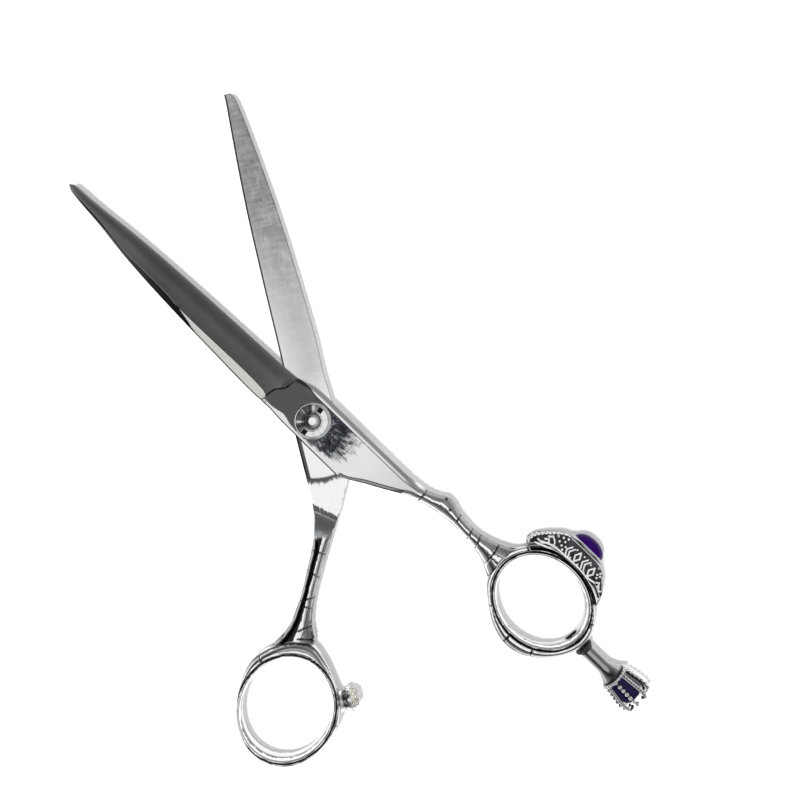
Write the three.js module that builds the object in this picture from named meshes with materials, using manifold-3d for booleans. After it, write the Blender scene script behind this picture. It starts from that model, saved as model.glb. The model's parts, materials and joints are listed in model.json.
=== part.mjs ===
// Right-handed hairdressing shears: two forged blades on a tension-screw pivot, cast bamboo-pattern
// handles, a gem crest on the finger ring, a screw-in crown-shaped finger rest and a jewelled bumper.
//
// Millimetres. +Z up, +Y along the finger blade to its tip. The origin is on the pivot axis, at the
// flat underside of the pivot screw's head, which is the face the shears stand on.
//
// Each half is drawn in half coordinates: u across with the cutting edge at +u, v along to the tip,
// w up from the parting plane between the two blades. The thumb half is turned over about v.
import * as THREE from 'three';
import { mergeVertices } from 'three/addons/utils/BufferGeometryUtils.js';
import Module from 'manifold-3d';

const wasm = await Module();
wasm.setup();

// ---------------------------------------------------------------------------------------------
// Driving dimensions
// ---------------------------------------------------------------------------------------------
const BLADE_REACH = 82; // pivot axis to blade tip
const REST_OPENING = 31.2; // degrees between the blades as the shears lie open
const PLAY = 0.1; // clearance between parts that touch or slide
const SEAT_GAP = 0.15; // clearance round parts that are soldered or glued on

const SCREW_HEAD = 1.6; // thickness of the pivot screw's head
const BLADE_THICKNESS = 2.75; // of each blade's pivot plate
const RIDE_GAP = 0.3; // between the two ride faces
const PARTING = SCREW_HEAD + PLAY + BLADE_THICKNESS + RIDE_GAP / 2; // height of the parting plane
const RIDE = RIDE_GAP / 2; // ride face, above the parting plane
const PLATE_TOP = RIDE + BLADE_THICKNESS; // outer face of a pivot plate, above the parting plane
const THROUGH = 9; // half height of a cutter that goes through everything in a half
const WELD_RADIUS = 14; // the blade ends and the cast handle begins on this arc about the pivot

const HEEL = 11; // where the ground blade ends and the pivot plate begins
// The heights of a section's corners, as shares of its thickness, and how far in its shoulder lies.
const GROUND = { land: 0.15, shoulder: 0.78, shoulderIn: 0.35, bevel: 0.66, back: 0.45 };
// The chamfers of a pivot plate: height and width on the edge side, height on the back.
const PLATE_CHAMFER = { edgeHeight: 0.7, edgeWidth: 1.2, backHeight: 0.6 };
const BLADE_STATIONS = [
  BLADE_REACH, 81.3, 80, 75, 68, 60, 50, 42, 30, 20, 14, HEEL + 0.2, HEEL - 0.2, 8, 5.5, 3, 0, -8, -16,
];

const SHANK_START = -9; // inside the weld arc, which trims it
const SHANK_PITCH = 2.2; // between a shank's sections
const RING_DEPTH = 7; // of a finger ring, along Z
const RING_POWER = 2.5; // 2 is a round ring section, more is squarer
const RING_STEPS = 44;
const RING_SIDES = 12;
const SHANK_SIDES = 12;

const SHAFT_RADIUS = 1.95; // pivot screw
const SCREW_HEAD_RADIUS = 4.5;
const HEAD_CHAMFER = 0.6; // round the screw's underside, inside which it stands
const BUSH_WALL = 0.5;
const KEY_SIDE = 4.6; // square key under the screw's head
const KEY_DEPTH = 1.1;
const BEARING = { inner: 2.9, outer: 4.4, thickness: 0.8 };
const SPRING = { inner: 2.3, outer: 4.5, thickness: 0.3 };
const NUT = {
  radius: 4.2,
  thickness: 1.2,
  chamfer: 0.4,
  slotWidth: 1.2,
  slotDepth: 0.6,
  slotStart: 2.5, // a key's two slots, by distance from the axis
  slotEnd: 3.7,
};

// The two halves. Edges and shank sides are [v, u] pairs from the tip to the handle; the outline of
// a ring is [u, v] points in turn; the tilt of a bore is in degrees.
const FINGER_HALF = {
  edge: [[82, 0.5], [81.2, 0.95], [75, 1.3], [60, 2.6], [40, 3.6], [20, 4.3], [HEEL, 4.65], [8, 5.4],
    [5, 6.25], [2, 6.4], [-16, 6.35]],
  back: [[82, -0.3], [81, -0.85], [70, -2], [60, -3.2], [50, -4], [30, -4.9], [15, -5.3], [10, -5],
    [5, -5.3], [-16, -5.4]],
  ridge: [[82, -0.2], [80, -0.85], [70, -1.7], [50, -2.8], [40, -2.85], [20, -2.5], [14, -2.7],
    [HEEL, -4], [7, -3.7], [2, -4.6], [-16, -4.7]],
  shankLeft: [[SHANK_START, -5.4], [-13, -5.4], [-19.5, -2], [-23.3, 0], [-27, 2], [-31.5, 3.6],
    [-35, 4.6], [-41, 5.4], [-46.5, 5.2], [-51, 4.6], [-53, 4], [-55, 2.9], [-57.5, 2]],
  shankRight: [[SHANK_START, 6.35], [-25, 6.4], [-29, 6.9], [-31.5, 7.3], [-34, 8.3], [-36.5, 9.6],
    [-38.5, 9.5], [-40.5, 8.9], [-43, 8.5], [-46, 8.3], [-48.5, 8.6], [-52.5, 9.8], [-55, 11],
    [-57.5, 12.4]],
  shankEnd: -57.5,
  bore: { u: 7.2, v: -69.5, radiusU: 9.7, radiusV: 11.5, tilt: 0 },
  ringOutline: [[18.6, -69.5], [17.6, -62.5], [14.1, -58.2], [10.5, -56], [6.5, -55.6], [1.5, -57],
    [-2.4, -61.2], [-4.6, -64.3], [-6.1, -68], [-6.5, -71], [-5.6, -75.2], [-2.6, -79.5], [1.8, -82.9],
    [6.2, -84.5], [10.6, -83.7], [14.7, -80.2], [17.6, -75.4]],
};
const THUMB_HALF = {
  edge: [[82, 1], [80, 1.05], [75, 1.45], [60, 2.5], [50, 3], [30, 3.55], [20, 3.75], [HEEL, 4.1],
    [8, 4.7], [3, 5.15], [-16, 5.3]],
  back: [[82, -0.6], [81.3, -1.05], [80, -1.5], [70, -2.75], [60, -3.7], [50, -4.5], [30, -5.4],
    [20, -5.65], [10, -5.4], [5, -5.6], [-16, -6]],
  ridge: [[82, -0.45], [80, -1.2], [70, -2.1], [50, -3.1], [20, -3], [14, -3.2], [HEEL, -4.4],
    [5, -4.8], [-16, -5.2]],
  shankLeft: [[SHANK_START, -6], [-13, -5.8], [-15.5, -4.6], [-23, -0.5], [-25, 0.8], [-28, 2.6],
    [-32, 5.1], [-37, 8], [-41, 10.2], [-45.5, 12.2], [-48, 12.9], [-51, 13.1], [-53, 13.9]],
  shankRight: [[SHANK_START, 5.3], [-16, 5.35], [-21, 5.6], [-25, 6.4], [-30, 8.4], [-34, 10.5],
    [-40, 13.7], [-43, 15.7], [-45.5, 17.5], [-48, 20.3], [-50, 23.8], [-52, 27], [-53, 28]],
  shankEnd: -53,
  bore: { u: 23.65, v: -65.2, radiusU: 10.7, radiusV: 12, tilt: 35 },
  ringOutline: [[10.6, -67], [11, -62.5], [11.9, -57], [14, -52.2], [18.5, -50], [24.5, -50.3],
    [29.3, -52.2], [33.4, -57.3], [35.7, -63], [36.2, -68], [34.9, -73], [31.4, -77.1], [26.5, -79.1],
    [20.8, -78.3], [15.8, -75.4], [12.4, -72.2]],
};

// Heights and section shapes both halves share, as [v, value] pairs.
const THICKNESS = [[82, 0.9], [75, 1.25], [60, 1.75], [40, 2.2], [HEEL + 0.2, 2.45], [HEEL - 0.2, 2.75],
  [-16, 2.75]];
const SHANK_TOP = [[SHANK_START, PLATE_TOP], [-24, PLATE_TOP], [-31, 2.5], [-36.5, 2.7], [-46, 2.2],
  [-57.5, 3]];
const SHANK_UNDERSIDE = [[SHANK_START, 0.3], [-22.5, 0.3], [-27, -1.5], [-31, -2.3], [-46, -2.2],
  [-57.5, -3]];
const SHANK_POWER = [[SHANK_START, 9], [-22, 7], [-28, 3.5], [-31, 2.3], [-57.5, 2.3]];

const CREST = {
  depth: 8.4,
  innerRadiusU: 10.7,
  innerRadiusV: 12.5,
  innerFrom: -48,
  innerTo: 62,
  outline: [[15.2, -57.4], [16.7, -57.2], [18.7, -58.4], [21.3, -60.8], [23.1, -63.1], [23.1, -73.4],
    [21, -76.6], [17.6, -78.9], [15.3, -79.5]],
};
const GEM = { y: -69.2, halfLength: 4.35, halfWidth: 3.7, rise: 2.9, seat: 23.8 };
const BEZEL = { halfLength: 5, halfWidth: 4.1, base: 23.35, pocket: 23.75, top: 24.1 };

const REST = {
  x: 6.2, // axis of the finger rest, which runs along -Y out of the ring
  washerTop: -84.7,
  washerRadius: 2.35,
  stemTop: -86.1,
  stemRadius: 1.75,
  // The stem's flare under the crown, as [radius, y].
  flare: [[1.75, -91.5], [2.1, -92.8], [2.8, -94.2], [3.2, -94.8], [3.2, -95]],
  studTop: -81.4,
  studRadius: 1.2,
  studBore: 1.5,
  studInStem: 2, // length of the stud set in the stem
};
const CROWN = {
  base: -95.1, // just clear of the end of the stem
  circletRadius: 3.85,
  circletHeight: 0.9,
  arches: 8,
  archTurn: 11.7, // degrees from facing up to the nearest arch
  archRadius: 0.5,
  // An arch's centre line, as [distance from the crown's axis, distance from its base].
  archPath: [[3.1, 0.4], [3.3, 2], [3.75, 4.5], [4, 6.3], [3.75, 7.7], [3, 8.3], [2.2, 8]],
  // The stone inside, in the same terms.
  stone: [[0, 1], [2.2, 1], [2.5, 2], [2.95, 4.5], [3.15, 5.8], [2.6, 6.8], [1.2, 7.2], [0, 7.3]],
};
const STOPPER = {
  v: -67.3,
  ringFace: 10.45, // just clear of the thumb ring's outer face
  studRadius: 0.9,
  studEnd: 12.7,
  cupMouth: 8.3,
  cupRadius: 2.6,
  cupFoot: 1.5, // radius where the cup stands on the ring
  cupWall: 0.2,
  jewelBase: 9.1,
  jewelTip: 6.45,
  jewelRadius: 2.3,
  tableRadius: 1.4, // of the jewel's flat face
};

// ---------------------------------------------------------------------------------------------
// Materials
// ---------------------------------------------------------------------------------------------
const MATERIALS = {
  satinSteel: { color: 0x8c8d8f, roughness: 0.35, metalness: 1 },
  polishedSteel: { color: 0xd6d8da, roughness: 0.1, metalness: 1 },
  oxidisedSilver: { color: 0x4b4d50, roughness: 0.4, metalness: 1 },
  darkSteel: { color: 0x5a5b5d, roughness: 0.25, metalness: 1 },
  purpleStone: { color: 0x33104f, roughness: 0.15, metalness: 0 },
  blueStone: { color: 0x15132e, roughness: 0.15, metalness: 0 },
  crystal: { color: 0xf2efe0, roughness: 0.05, metalness: 0 },
  blackRubber: { color: 0x18191c, roughness: 0.6, metalness: 0 },
  nylon: { color: 0xe9e6da, roughness: 0.5, metalness: 0 },
  bearingBronze: { color: 0xa9793f, roughness: 0.3, metalness: 1 },
};

function named(name, geometry, material) {
  const mesh = new THREE.Mesh(geometry, new THREE.MeshStandardMaterial(MATERIALS[material]));
  mesh.name = name;
  return mesh;
}

// ---------------------------------------------------------------------------------------------
// Shape helpers
// ---------------------------------------------------------------------------------------------

// A smooth curve through [position, value] pairs that never overshoots them.
function through(pairs) {
  const slopes = pairs.slice(1).map(([p, x], i) => (x - pairs[i][1]) / (p - pairs[i][0]));
  const tangents = pairs.map((pair, i) => {
    const before = slopes[i - 1];
    const after = slopes[i];
    if (before === undefined || after === undefined || before * after <= 0) {
      return 0;
    }
    return (2 * before * after) / (before + after);
  });
  return (position) => {
    const next = pairs.findIndex(([p]) => p <= position);
    const i = Math.max(next, 1) - 1;
    const [p0, x0] = pairs[i];
    const [p1, x1] = pairs[i + 1];
    const t = THREE.MathUtils.clamp((position - p0) / (p1 - p0), 0, 1);
    const step = p1 - p0;
    return (2 * t ** 3 - 3 * t ** 2 + 1) * x0 + (t ** 3 - 2 * t ** 2 + t) * step * tangents[i]
      + (3 * t ** 2 - 2 * t ** 3) * x1 + (t ** 3 - t ** 2) * step * tangents[i + 1];
  };
}

// A point of a superellipse: round where power is 2, squarer where it is more.
function superellipse(angle, halfWidth, halfHeight, power) {
  const round = (value) => Math.sign(value) * Math.abs(value) ** (2 / power);
  return [halfWidth * round(Math.cos(angle)), halfHeight * round(Math.sin(angle))];
}

// A skin over a row of sections with equal point counts, closed by flat ends or joined end to end.
function loft(sections, joined = false) {
  const count = sections[0].length;
  const positions = sections.flat().flatMap((point) => [point.x, point.y, point.z]);
  const index = [];
  const bands = joined ? sections.length : sections.length - 1;
  for (let i = 0; i < bands; i += 1) {
    const near = i * count;
    const far = ((i + 1) % sections.length) * count;
    for (let j = 0; j < count; j += 1) {
      const k = (j + 1) % count;
      index.push(near + j, far + j, far + k);
      index.push(near + j, far + k, near + k);
    }
  }
  if (!joined) {
    const last = (sections.length - 1) * count;
    for (let j = 1; j < count - 1; j += 1) {
      index.push(0, j, j + 1);
      index.push(last, last + j + 1, last + j);
    }
  }
  const geometry = new THREE.BufferGeometry();
  geometry.setAttribute('position', new THREE.Float32BufferAttribute(positions, 3));
  geometry.setIndex(index);
  return facingOut(geometry);
}

// The same closed skin with shared vertices merged, empty triangles dropped and faces turned outwards.
function facingOut(geometry) {
  const bare = geometry.clone();
  bare.deleteAttribute('normal');
  bare.deleteAttribute('uv');
  const merged = mergeVertices(bare, 1e-4);
  const position = merged.attributes.position;
  const corner = (vertex) => new THREE.Vector3().fromBufferAttribute(position, vertex);
  const index = [];
  let volume = 0;
  for (let i = 0; i < merged.index.count; i += 3) {
    const [a, b, c] = merged.index.array.slice(i, i + 3);
    if (a !== b && b !== c && c !== a) {
      index.push(a, b, c);
      volume += corner(a).dot(corner(b).cross(corner(c)));
    }
  }
  merged.setIndex(volume < 0 ? index.reverse() : index);
  merged.computeVertexNormals();
  return merged;
}

function solidOf(geometry) {
  const closed = facingOut(geometry);
  return new wasm.Manifold(new wasm.Mesh({
    numProp: 3,
    vertProperties: new Float32Array(closed.attributes.position.array),
    triVerts: new Uint32Array(closed.index.array),
  }));
}

function geometryOf(solid) {
  const mesh = solid.getMesh();
  const geometry = new THREE.BufferGeometry();
  geometry.setAttribute('position', new THREE.BufferAttribute(new Float32Array(mesh.vertProperties), 3));
  geometry.setIndex(new THREE.BufferAttribute(new Uint32Array(mesh.triVerts), 1));
  geometry.computeVertexNormals();
  return geometry;
}

// A turned solid about +Z from a profile of [radius, height] pairs that closes on itself.
function turned(profile, sides) {
  const points = [...profile, profile[0]].map(([radius, height]) => new THREE.Vector2(radius, height));
  const geometry = new THREE.LatheGeometry(points, sides);
  geometry.rotateX(Math.PI / 2);
  return facingOut(geometry);
}

function solidCylinder(radius, from, to, sides = 32) {
  const geometry = new THREE.CylinderGeometry(radius, radius, to - from, sides);
  geometry.rotateX(Math.PI / 2);
  geometry.translate(0, 0, (from + to) / 2);
  return solidOf(geometry);
}

function solidBox(low, high) {
  const size = high.map((value, i) => value - low[i]);
  const geometry = new THREE.BoxGeometry(...size);
  geometry.translate(...low.map((value, i) => value + size[i] / 2));
  return solidOf(geometry);
}

// ---------------------------------------------------------------------------------------------
// Blades
// ---------------------------------------------------------------------------------------------

// The blade's section: flat ride face below, cutting edge at +u, convex outer face, bevelled back.
// On the pivot plate the same points make a flat plate with chamfered sides.
function bladeSection(half, v) {
  const edge = through(half.edge)(v);
  const back = through(half.back)(v);
  const ridge = through(half.ridge)(v);
  const thickness = through(THICKNESS)(v);
  const ground = v > HEEL;
  const { edgeHeight, edgeWidth, backHeight } = PLATE_CHAMFER;
  const land = ground ? GROUND.land * thickness : thickness - edgeHeight;
  const shoulder = edge - (ground ? GROUND.shoulderIn * (edge - ridge) : edgeWidth);
  const shoulderHeight = ground ? GROUND.shoulder * thickness : thickness;
  const bevelHeight = ground ? GROUND.bevel * thickness : thickness - backHeight / 2;
  const backTop = ground ? GROUND.back * thickness : thickness - backHeight;
  return [
    [edge, 0], [edge, land], [shoulder, shoulderHeight], [ridge, thickness],
    [(ridge + back) / 2, bevelHeight], [back, backTop], [back, 0],
  ].map(([u, w]) => new THREE.Vector3(u, v, RIDE + w));
}

function bladeOf(half, boreRadius) {
  const blank = solidOf(loft(BLADE_STATIONS.map((v) => bladeSection(half, v))));
  const plate = solidCylinder(WELD_RADIUS, -THROUGH, THROUGH, 48);
  const bladeSpan = solidBox([-WELD_RADIUS, 0, -THROUGH], [WELD_RADIUS, BLADE_REACH + 1, THROUGH]);
  const pocketTop = RIDE + (BEARING.thickness - RIDE_GAP) / 2 + PLAY;
  return blank
    .intersect(plate.add(bladeSpan))
    .subtract(solidCylinder(boreRadius, -THROUGH, THROUGH))
    .subtract(solidCylinder(BEARING.outer + PLAY, -THROUGH, pocketTop));
}

function fingerBlade() {
  const bore = SHAFT_RADIUS + PLAY + BUSH_WALL + PLAY;
  return named('finger_blade', geometryOf(bladeOf(FINGER_HALF, bore)), 'satinSteel');
}

function thumbBlade() {
  const side = KEY_SIDE / 2 + PLAY;
  const floor = PLATE_TOP - KEY_DEPTH;
  const keyway = solidBox([-side, -side, floor], [side, side, THROUGH]);
  const solid = bladeOf(THUMB_HALF, SHAFT_RADIUS + PLAY).subtract(keyway);
  return named('thumb_blade', geometryOf(solid), 'satinSteel');
}

// ---------------------------------------------------------------------------------------------
// Handles
// ---------------------------------------------------------------------------------------------

// A finger ring: oval bore, free outline, rounded section. grow makes it larger all round.
function ringSolid(half, grow = 0) {
  const { u, v, radiusU, radiusV } = half.bore;
  const tilt = THREE.MathUtils.degToRad(half.bore.tilt);
  const outline = new THREE.CatmullRomCurve3(
    half.ringOutline.map(([x, y]) => new THREE.Vector3(x, y, 0)),
    true,
  );
  const centre = new THREE.Vector3(u, v, 0);
  const sections = outline.getSpacedPoints(RING_STEPS).slice(0, RING_STEPS).map((outer) => {
    const ray = outer.clone().sub(centre);
    const reach = ray.length();
    ray.normalize();
    const angle = Math.atan2(ray.y, ray.x) - tilt;
    const inner = 1 / Math.hypot(Math.cos(angle) / radiusU, Math.sin(angle) / radiusV);
    const middle = (reach + inner) / 2;
    const halfWall = (reach - inner) / 2 + grow;
    return Array.from({ length: RING_SIDES }, (_, k) => {
      const turn = ((k + 0.5) / RING_SIDES) * 2 * Math.PI;
      const [across, up] = superellipse(turn, halfWall, RING_DEPTH / 2 + grow, RING_POWER);
      const point = centre.clone().addScaledVector(ray, middle + across);
      return point.setZ(up);
    });
  });
  return solidOf(loft(sections, true));
}

// The shank, from the flat pivot plate to the round bamboo stem and the fork round the ring.
function shankSolid(half) {
  const stations = [];
  for (let v = SHANK_START; v > half.shankEnd; v -= SHANK_PITCH) {
    stations.push(v);
  }
  stations.push(half.shankEnd);
  const sections = stations.map((v) => {
    const left = through(half.shankLeft)(v);
    const right = through(half.shankRight)(v);
    const top = through(SHANK_TOP)(v);
    const underside = through(SHANK_UNDERSIDE)(v);
    return Array.from({ length: SHANK_SIDES }, (_, k) => {
      const angle = ((k + 0.5) / SHANK_SIDES) * 2 * Math.PI;
      const halfWidth = (right - left) / 2;
      const halfDepth = (top - underside) / 2;
      const [across, up] = superellipse(angle, halfWidth, halfDepth, through(SHANK_POWER)(v));
      return new THREE.Vector3((left + right) / 2 + across, v, (top + underside) / 2 + up);
    });
  });
  return solidOf(loft(sections));
}

function handleOf(half) {
  return ringSolid(half)
    .add(shankSolid(half))
    .subtract(solidCylinder(WELD_RADIUS + PLAY, -THROUGH, THROUGH, 48));
}

function fingerHandle() {
  const length = 12; // through the ring wall and clear of both its faces
  const bore = new THREE.CylinderGeometry(REST.studBore, REST.studBore, length, 24);
  bore.translate(REST.x, REST.studTop, 0);
  const solid = handleOf(FINGER_HALF).subtract(solidOf(bore));
  return named('finger_handle', geometryOf(solid), 'polishedSteel');
}

function thumbHandle() {
  const radius = STOPPER.studRadius + SEAT_GAP;
  const length = 8; // through the ring wall and clear of both its faces
  const bore = new THREE.CylinderGeometry(radius, radius, length, 20);
  bore.rotateZ(Math.PI / 2);
  bore.translate(STOPPER.studEnd, STOPPER.v, 0);
  const solid = handleOf(THUMB_HALF).subtract(solidOf(bore));
  return named('thumb_handle', geometryOf(solid), 'polishedSteel');
}

// ---------------------------------------------------------------------------------------------
// Crest with its gem, on the finger ring
// ---------------------------------------------------------------------------------------------
function crestSetting() {
  const { u, v } = FINGER_HALF.bore;
  const shape = new THREE.Shape(CREST.outline.map(([x, y]) => new THREE.Vector2(x, y)));
  const from = THREE.MathUtils.degToRad(CREST.innerFrom);
  const to = THREE.MathUtils.degToRad(CREST.innerTo);
  shape.absellipse(u, v, CREST.innerRadiusU, CREST.innerRadiusV, from, to, false);
  const geometry = new THREE.ExtrudeGeometry(shape, {
    depth: CREST.depth,
    bevelEnabled: false,
    curveSegments: 6,
  });
  geometry.translate(0, 0, -CREST.depth / 2);
  const solid = solidOf(geometry).subtract(ringSolid(FINGER_HALF, SEAT_GAP));
  return named('crest_setting', geometryOf(solid), 'oxidisedSilver');
}

// An oval plate across X, from one height to another along X.
function ovalPlate(halfLength, halfWidth, from, to) {
  const geometry = new THREE.CylinderGeometry(1, 1, to - from, 32);
  geometry.rotateZ(Math.PI / 2);
  geometry.scale(1, halfLength, halfWidth);
  geometry.translate((from + to) / 2, GEM.y, 0);
  return solidOf(geometry);
}

function gemBezel() {
  const plate = ovalPlate(BEZEL.halfLength, BEZEL.halfWidth, BEZEL.base, BEZEL.top);
  const open = BEZEL.top + 1; // the pocket's cutter reaches past the bezel's rim
  const pocket = ovalPlate(GEM.halfLength + SEAT_GAP, GEM.halfWidth + SEAT_GAP, BEZEL.pocket, open);
  return named('gem_bezel', geometryOf(plate.subtract(pocket)), 'polishedSteel');
}

function gemCabochon() {
  const steps = 6;
  const profile = Array.from({ length: steps + 1 }, (_, i) => {
    const angle = (i / steps) * (Math.PI / 2);
    return new THREE.Vector2(Math.cos(angle), GEM.rise * Math.sin(angle));
  });
  profile[steps].x = 0;
  profile.unshift(new THREE.Vector2(0, 0));
  const geometry = new THREE.LatheGeometry(profile, 28);
  geometry.rotateZ(-Math.PI / 2);
  geometry.scale(1, GEM.halfLength, GEM.halfWidth);
  geometry.translate(GEM.seat + PLAY, GEM.y, 0);
  return named('gem_cabochon', facingOut(geometry), 'purpleStone');
}

// ---------------------------------------------------------------------------------------------
// Finger rest: drawn about +Z and then laid along -Y, out of the ring
// ---------------------------------------------------------------------------------------------
function laidAlongRest(geometry) {
  geometry.rotateX(Math.PI / 2);
  geometry.translate(REST.x, 0, 0);
  return geometry;
}

// A profile of [radius, y] pairs in the row's own y, turned about the rest's axis.
function turnedOnRest(profile, sides) {
  return laidAlongRest(turned(profile.map(([radius, y]) => [radius, -y]), sides));
}

function restWasher() {
  const inner = REST.studRadius + PLAY;
  const bottom = REST.stemTop + PLAY;
  const { washerTop, washerRadius, stemRadius } = REST;
  const geometry = turnedOnRest([
    [inner, washerTop], [washerRadius - 0.15, washerTop], [washerRadius, washerTop - 0.5],
    [stemRadius + 0.1, bottom], [inner, bottom],
  ], 28);
  return named('rest_washer', geometry, 'blackRubber');
}

function restStud() {
  const { studRadius, studTop, stemTop, studInStem } = REST;
  const geometry = turnedOnRest([
    [0, studTop], [studRadius, studTop], [studRadius, stemTop - studInStem], [0, stemTop - studInStem],
  ], 20);
  return named('rest_stud', geometry, 'darkSteel');
}

function restStem() {
  const socket = REST.studRadius + PLAY;
  const { stemTop, stemRadius, studInStem, flare } = REST;
  const socketEnd = stemTop - studInStem - PLAY;
  const [, flareEnd] = flare.at(-1);
  const geometry = turnedOnRest([
    [0, socketEnd], [socket, socketEnd], [socket, stemTop], [stemRadius, stemTop],
    ...flare, [0, flareEnd],
  ], 28);
  return named('rest_stem', geometry, 'darkSteel');
}

function crownArch(angle) {
  const points = CROWN.archPath.map(([radius, height]) => new THREE.Vector3(
    radius * Math.cos(angle),
    radius * Math.sin(angle),
    height,
  ));
  const section = new THREE.Shape();
  const sides = 6;
  for (let k = 0; k < sides; k += 1) {
    const turn = (k / sides) * 2 * Math.PI;
    const x = CROWN.archRadius * Math.cos(turn);
    const y = CROWN.archRadius * Math.sin(turn);
    if (k === 0) {
      section.moveTo(x, y);
    } else {
      section.lineTo(x, y);
    }
  }
  return solidOf(new THREE.ExtrudeGeometry(section, {
    steps: 9,
    curveSegments: 1,
    bevelEnabled: false,
    extrudePath: new THREE.CatmullRomCurve3(points),
  }));
}

function crown() {
  const radius = CROWN.circletRadius;
  let solid = solidCylinder(radius, 0, CROWN.circletHeight, 32);
  for (let i = 0; i < CROWN.arches; i += 1) {
    const angle = THREE.MathUtils.degToRad(90 + CROWN.archTurn + (i * 360) / CROWN.arches);
    solid = solid.add(crownArch(angle));
  }
  const geometry = geometryOf(solid);
  geometry.translate(0, 0, -CROWN.base);
  return named('crown', laidAlongRest(geometry), 'polishedSteel');
}

function crownStone() {
  const profile = CROWN.stone.map(([radius, height]) => [radius, CROWN.base - height]);
  return named('crown_stone', turnedOnRest(profile, 24), 'blueStone');
}

// ---------------------------------------------------------------------------------------------
// Bumper on the thumb ring, pointing at the finger ring (-u)
// ---------------------------------------------------------------------------------------------
function turnedOnStopper(profile, sides) {
  const geometry = turned(profile.map(([radius, u]) => [radius, -u]), sides);
  geometry.rotateY(-Math.PI / 2);
  geometry.translate(0, STOPPER.v, 0);
  return geometry;
}

function stopperStud() {
  const { studRadius, studEnd, jewelBase } = STOPPER;
  const head = jewelBase + 2 * PLAY;
  const geometry = turnedOnStopper([[0, studEnd], [studRadius, studEnd], [studRadius, head], [0, head]], 16);
  return named('stopper_stud', geometry, 'darkSteel');
}

function stopperCup() {
  const { studRadius, ringFace, cupMouth, cupRadius, cupFoot, cupWall, jewelBase } = STOPPER;
  const bore = studRadius + PLAY;
  const floor = jewelBase + PLAY;
  const pocket = cupRadius - cupWall;
  const geometry = turnedOnStopper([
    [bore, ringFace], [cupFoot, ringFace], [cupFoot + 0.2, ringFace - 0.5], [cupRadius, ringFace - 1.5],
    [cupRadius, cupMouth], [pocket, cupMouth], [pocket, floor], [bore, floor],
  ], 20);
  return named('stopper_cup', geometry, 'polishedSteel');
}

function stopperJewel() {
  const { jewelRadius, tableRadius, jewelBase, jewelTip } = STOPPER;
  const geometry = turnedOnStopper([
    [0, jewelBase], [jewelRadius, jewelBase], [jewelRadius, jewelTip + 1.2], [tableRadius, jewelTip],
    [0, jewelTip],
  ], 12);
  return named('stopper_jewel', geometry, 'crystal');
}

// ---------------------------------------------------------------------------------------------
// Pivot: drawn in the row's own heights
// ---------------------------------------------------------------------------------------------
const NUT_BASE = PARTING + PLATE_TOP + PLAY + SPRING.thickness + PLAY;
const NUT_TOP = NUT_BASE + NUT.thickness;

function pivotScrew() {
  const shaftTop = NUT_TOP - NUT.chamfer;
  const shaft = solidCylinder(SHAFT_RADIUS, SCREW_HEAD / 2, shaftTop);
  const head = solidOf(turned([
    [0, 0], [SCREW_HEAD_RADIUS - HEAD_CHAMFER, 0], [SCREW_HEAD_RADIUS, HEAD_CHAMFER],
    [SCREW_HEAD_RADIUS, SCREW_HEAD], [0, SCREW_HEAD],
  ], 40));
  const keyFrom = SCREW_HEAD / 2; // inside the head, which it grows out of
  const keyTop = SCREW_HEAD + KEY_DEPTH - PLAY;
  const key = new THREE.BoxGeometry(KEY_SIDE, KEY_SIDE, keyTop - keyFrom);
  key.rotateZ(THREE.MathUtils.degToRad(-REST_OPENING));
  key.translate(0, 0, (keyTop + keyFrom) / 2);
  const dome = new THREE.SphereGeometry(1, 24, 12);
  const domeRadius = SHAFT_RADIUS - 0.35;
  dome.scale(domeRadius, domeRadius, 0.75);
  dome.translate(0, 0, shaftTop);
  const solid = head.add(shaft).add(solidOf(key)).add(solidOf(dome));
  return named('pivot_screw', geometryOf(solid), 'polishedSteel');
}

function ringWasher(name, inner, outer, from, to, material) {
  return named(name, turned([[inner, from], [outer, from], [outer, to], [inner, to]], 36), material);
}

function pivotBush() {
  const inner = SHAFT_RADIUS + PLAY;
  const from = PARTING + RIDE;
  return ringWasher('pivot_bush', inner, inner + BUSH_WALL, from, PARTING + PLATE_TOP, 'nylon');
}

function bearingWasher() {
  const from = PARTING - BEARING.thickness / 2;
  const to = PARTING + BEARING.thickness / 2;
  return ringWasher('bearing_washer', BEARING.inner, BEARING.outer, from, to, 'bearingBronze');
}

function springWasher() {
  const { inner, outer, thickness } = SPRING;
  const from = PARTING + PLATE_TOP + PLAY;
  return ringWasher('spring_washer', inner, outer, from, from + thickness, 'polishedSteel');
}

function tensionNut() {
  const bore = SHAFT_RADIUS + PLAY;
  const { radius, chamfer } = NUT;
  const body = solidOf(turned([
    [bore, NUT_BASE], [radius, NUT_BASE], [radius, NUT_TOP - chamfer], [radius - chamfer, NUT_TOP],
    [bore + chamfer / 2, NUT_TOP], [bore, NUT_TOP - chamfer / 2],
  ], 40));
  const halfSlot = NUT.slotWidth / 2;
  const floor = NUT_TOP - NUT.slotDepth;
  const right = solidBox([NUT.slotStart, -halfSlot, floor], [NUT.slotEnd, halfSlot, NUT_TOP + 1]);
  const left = solidBox([-NUT.slotEnd, -halfSlot, floor], [-NUT.slotStart, halfSlot, NUT_TOP + 1]);
  return named('tension_nut', geometryOf(body.subtract(right).subtract(left)), 'polishedSteel');
}

// ---------------------------------------------------------------------------------------------
// Assembly
// ---------------------------------------------------------------------------------------------
const fingerHalf = new THREE.Group();
fingerHalf.position.z = PARTING;
fingerHalf.add(
  fingerBlade(),
  fingerHandle(),
  crestSetting(),
  gemBezel(),
  gemCabochon(),
  restWasher(),
  restStud(),
  restStem(),
  crown(),
  crownStone(),
);

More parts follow.
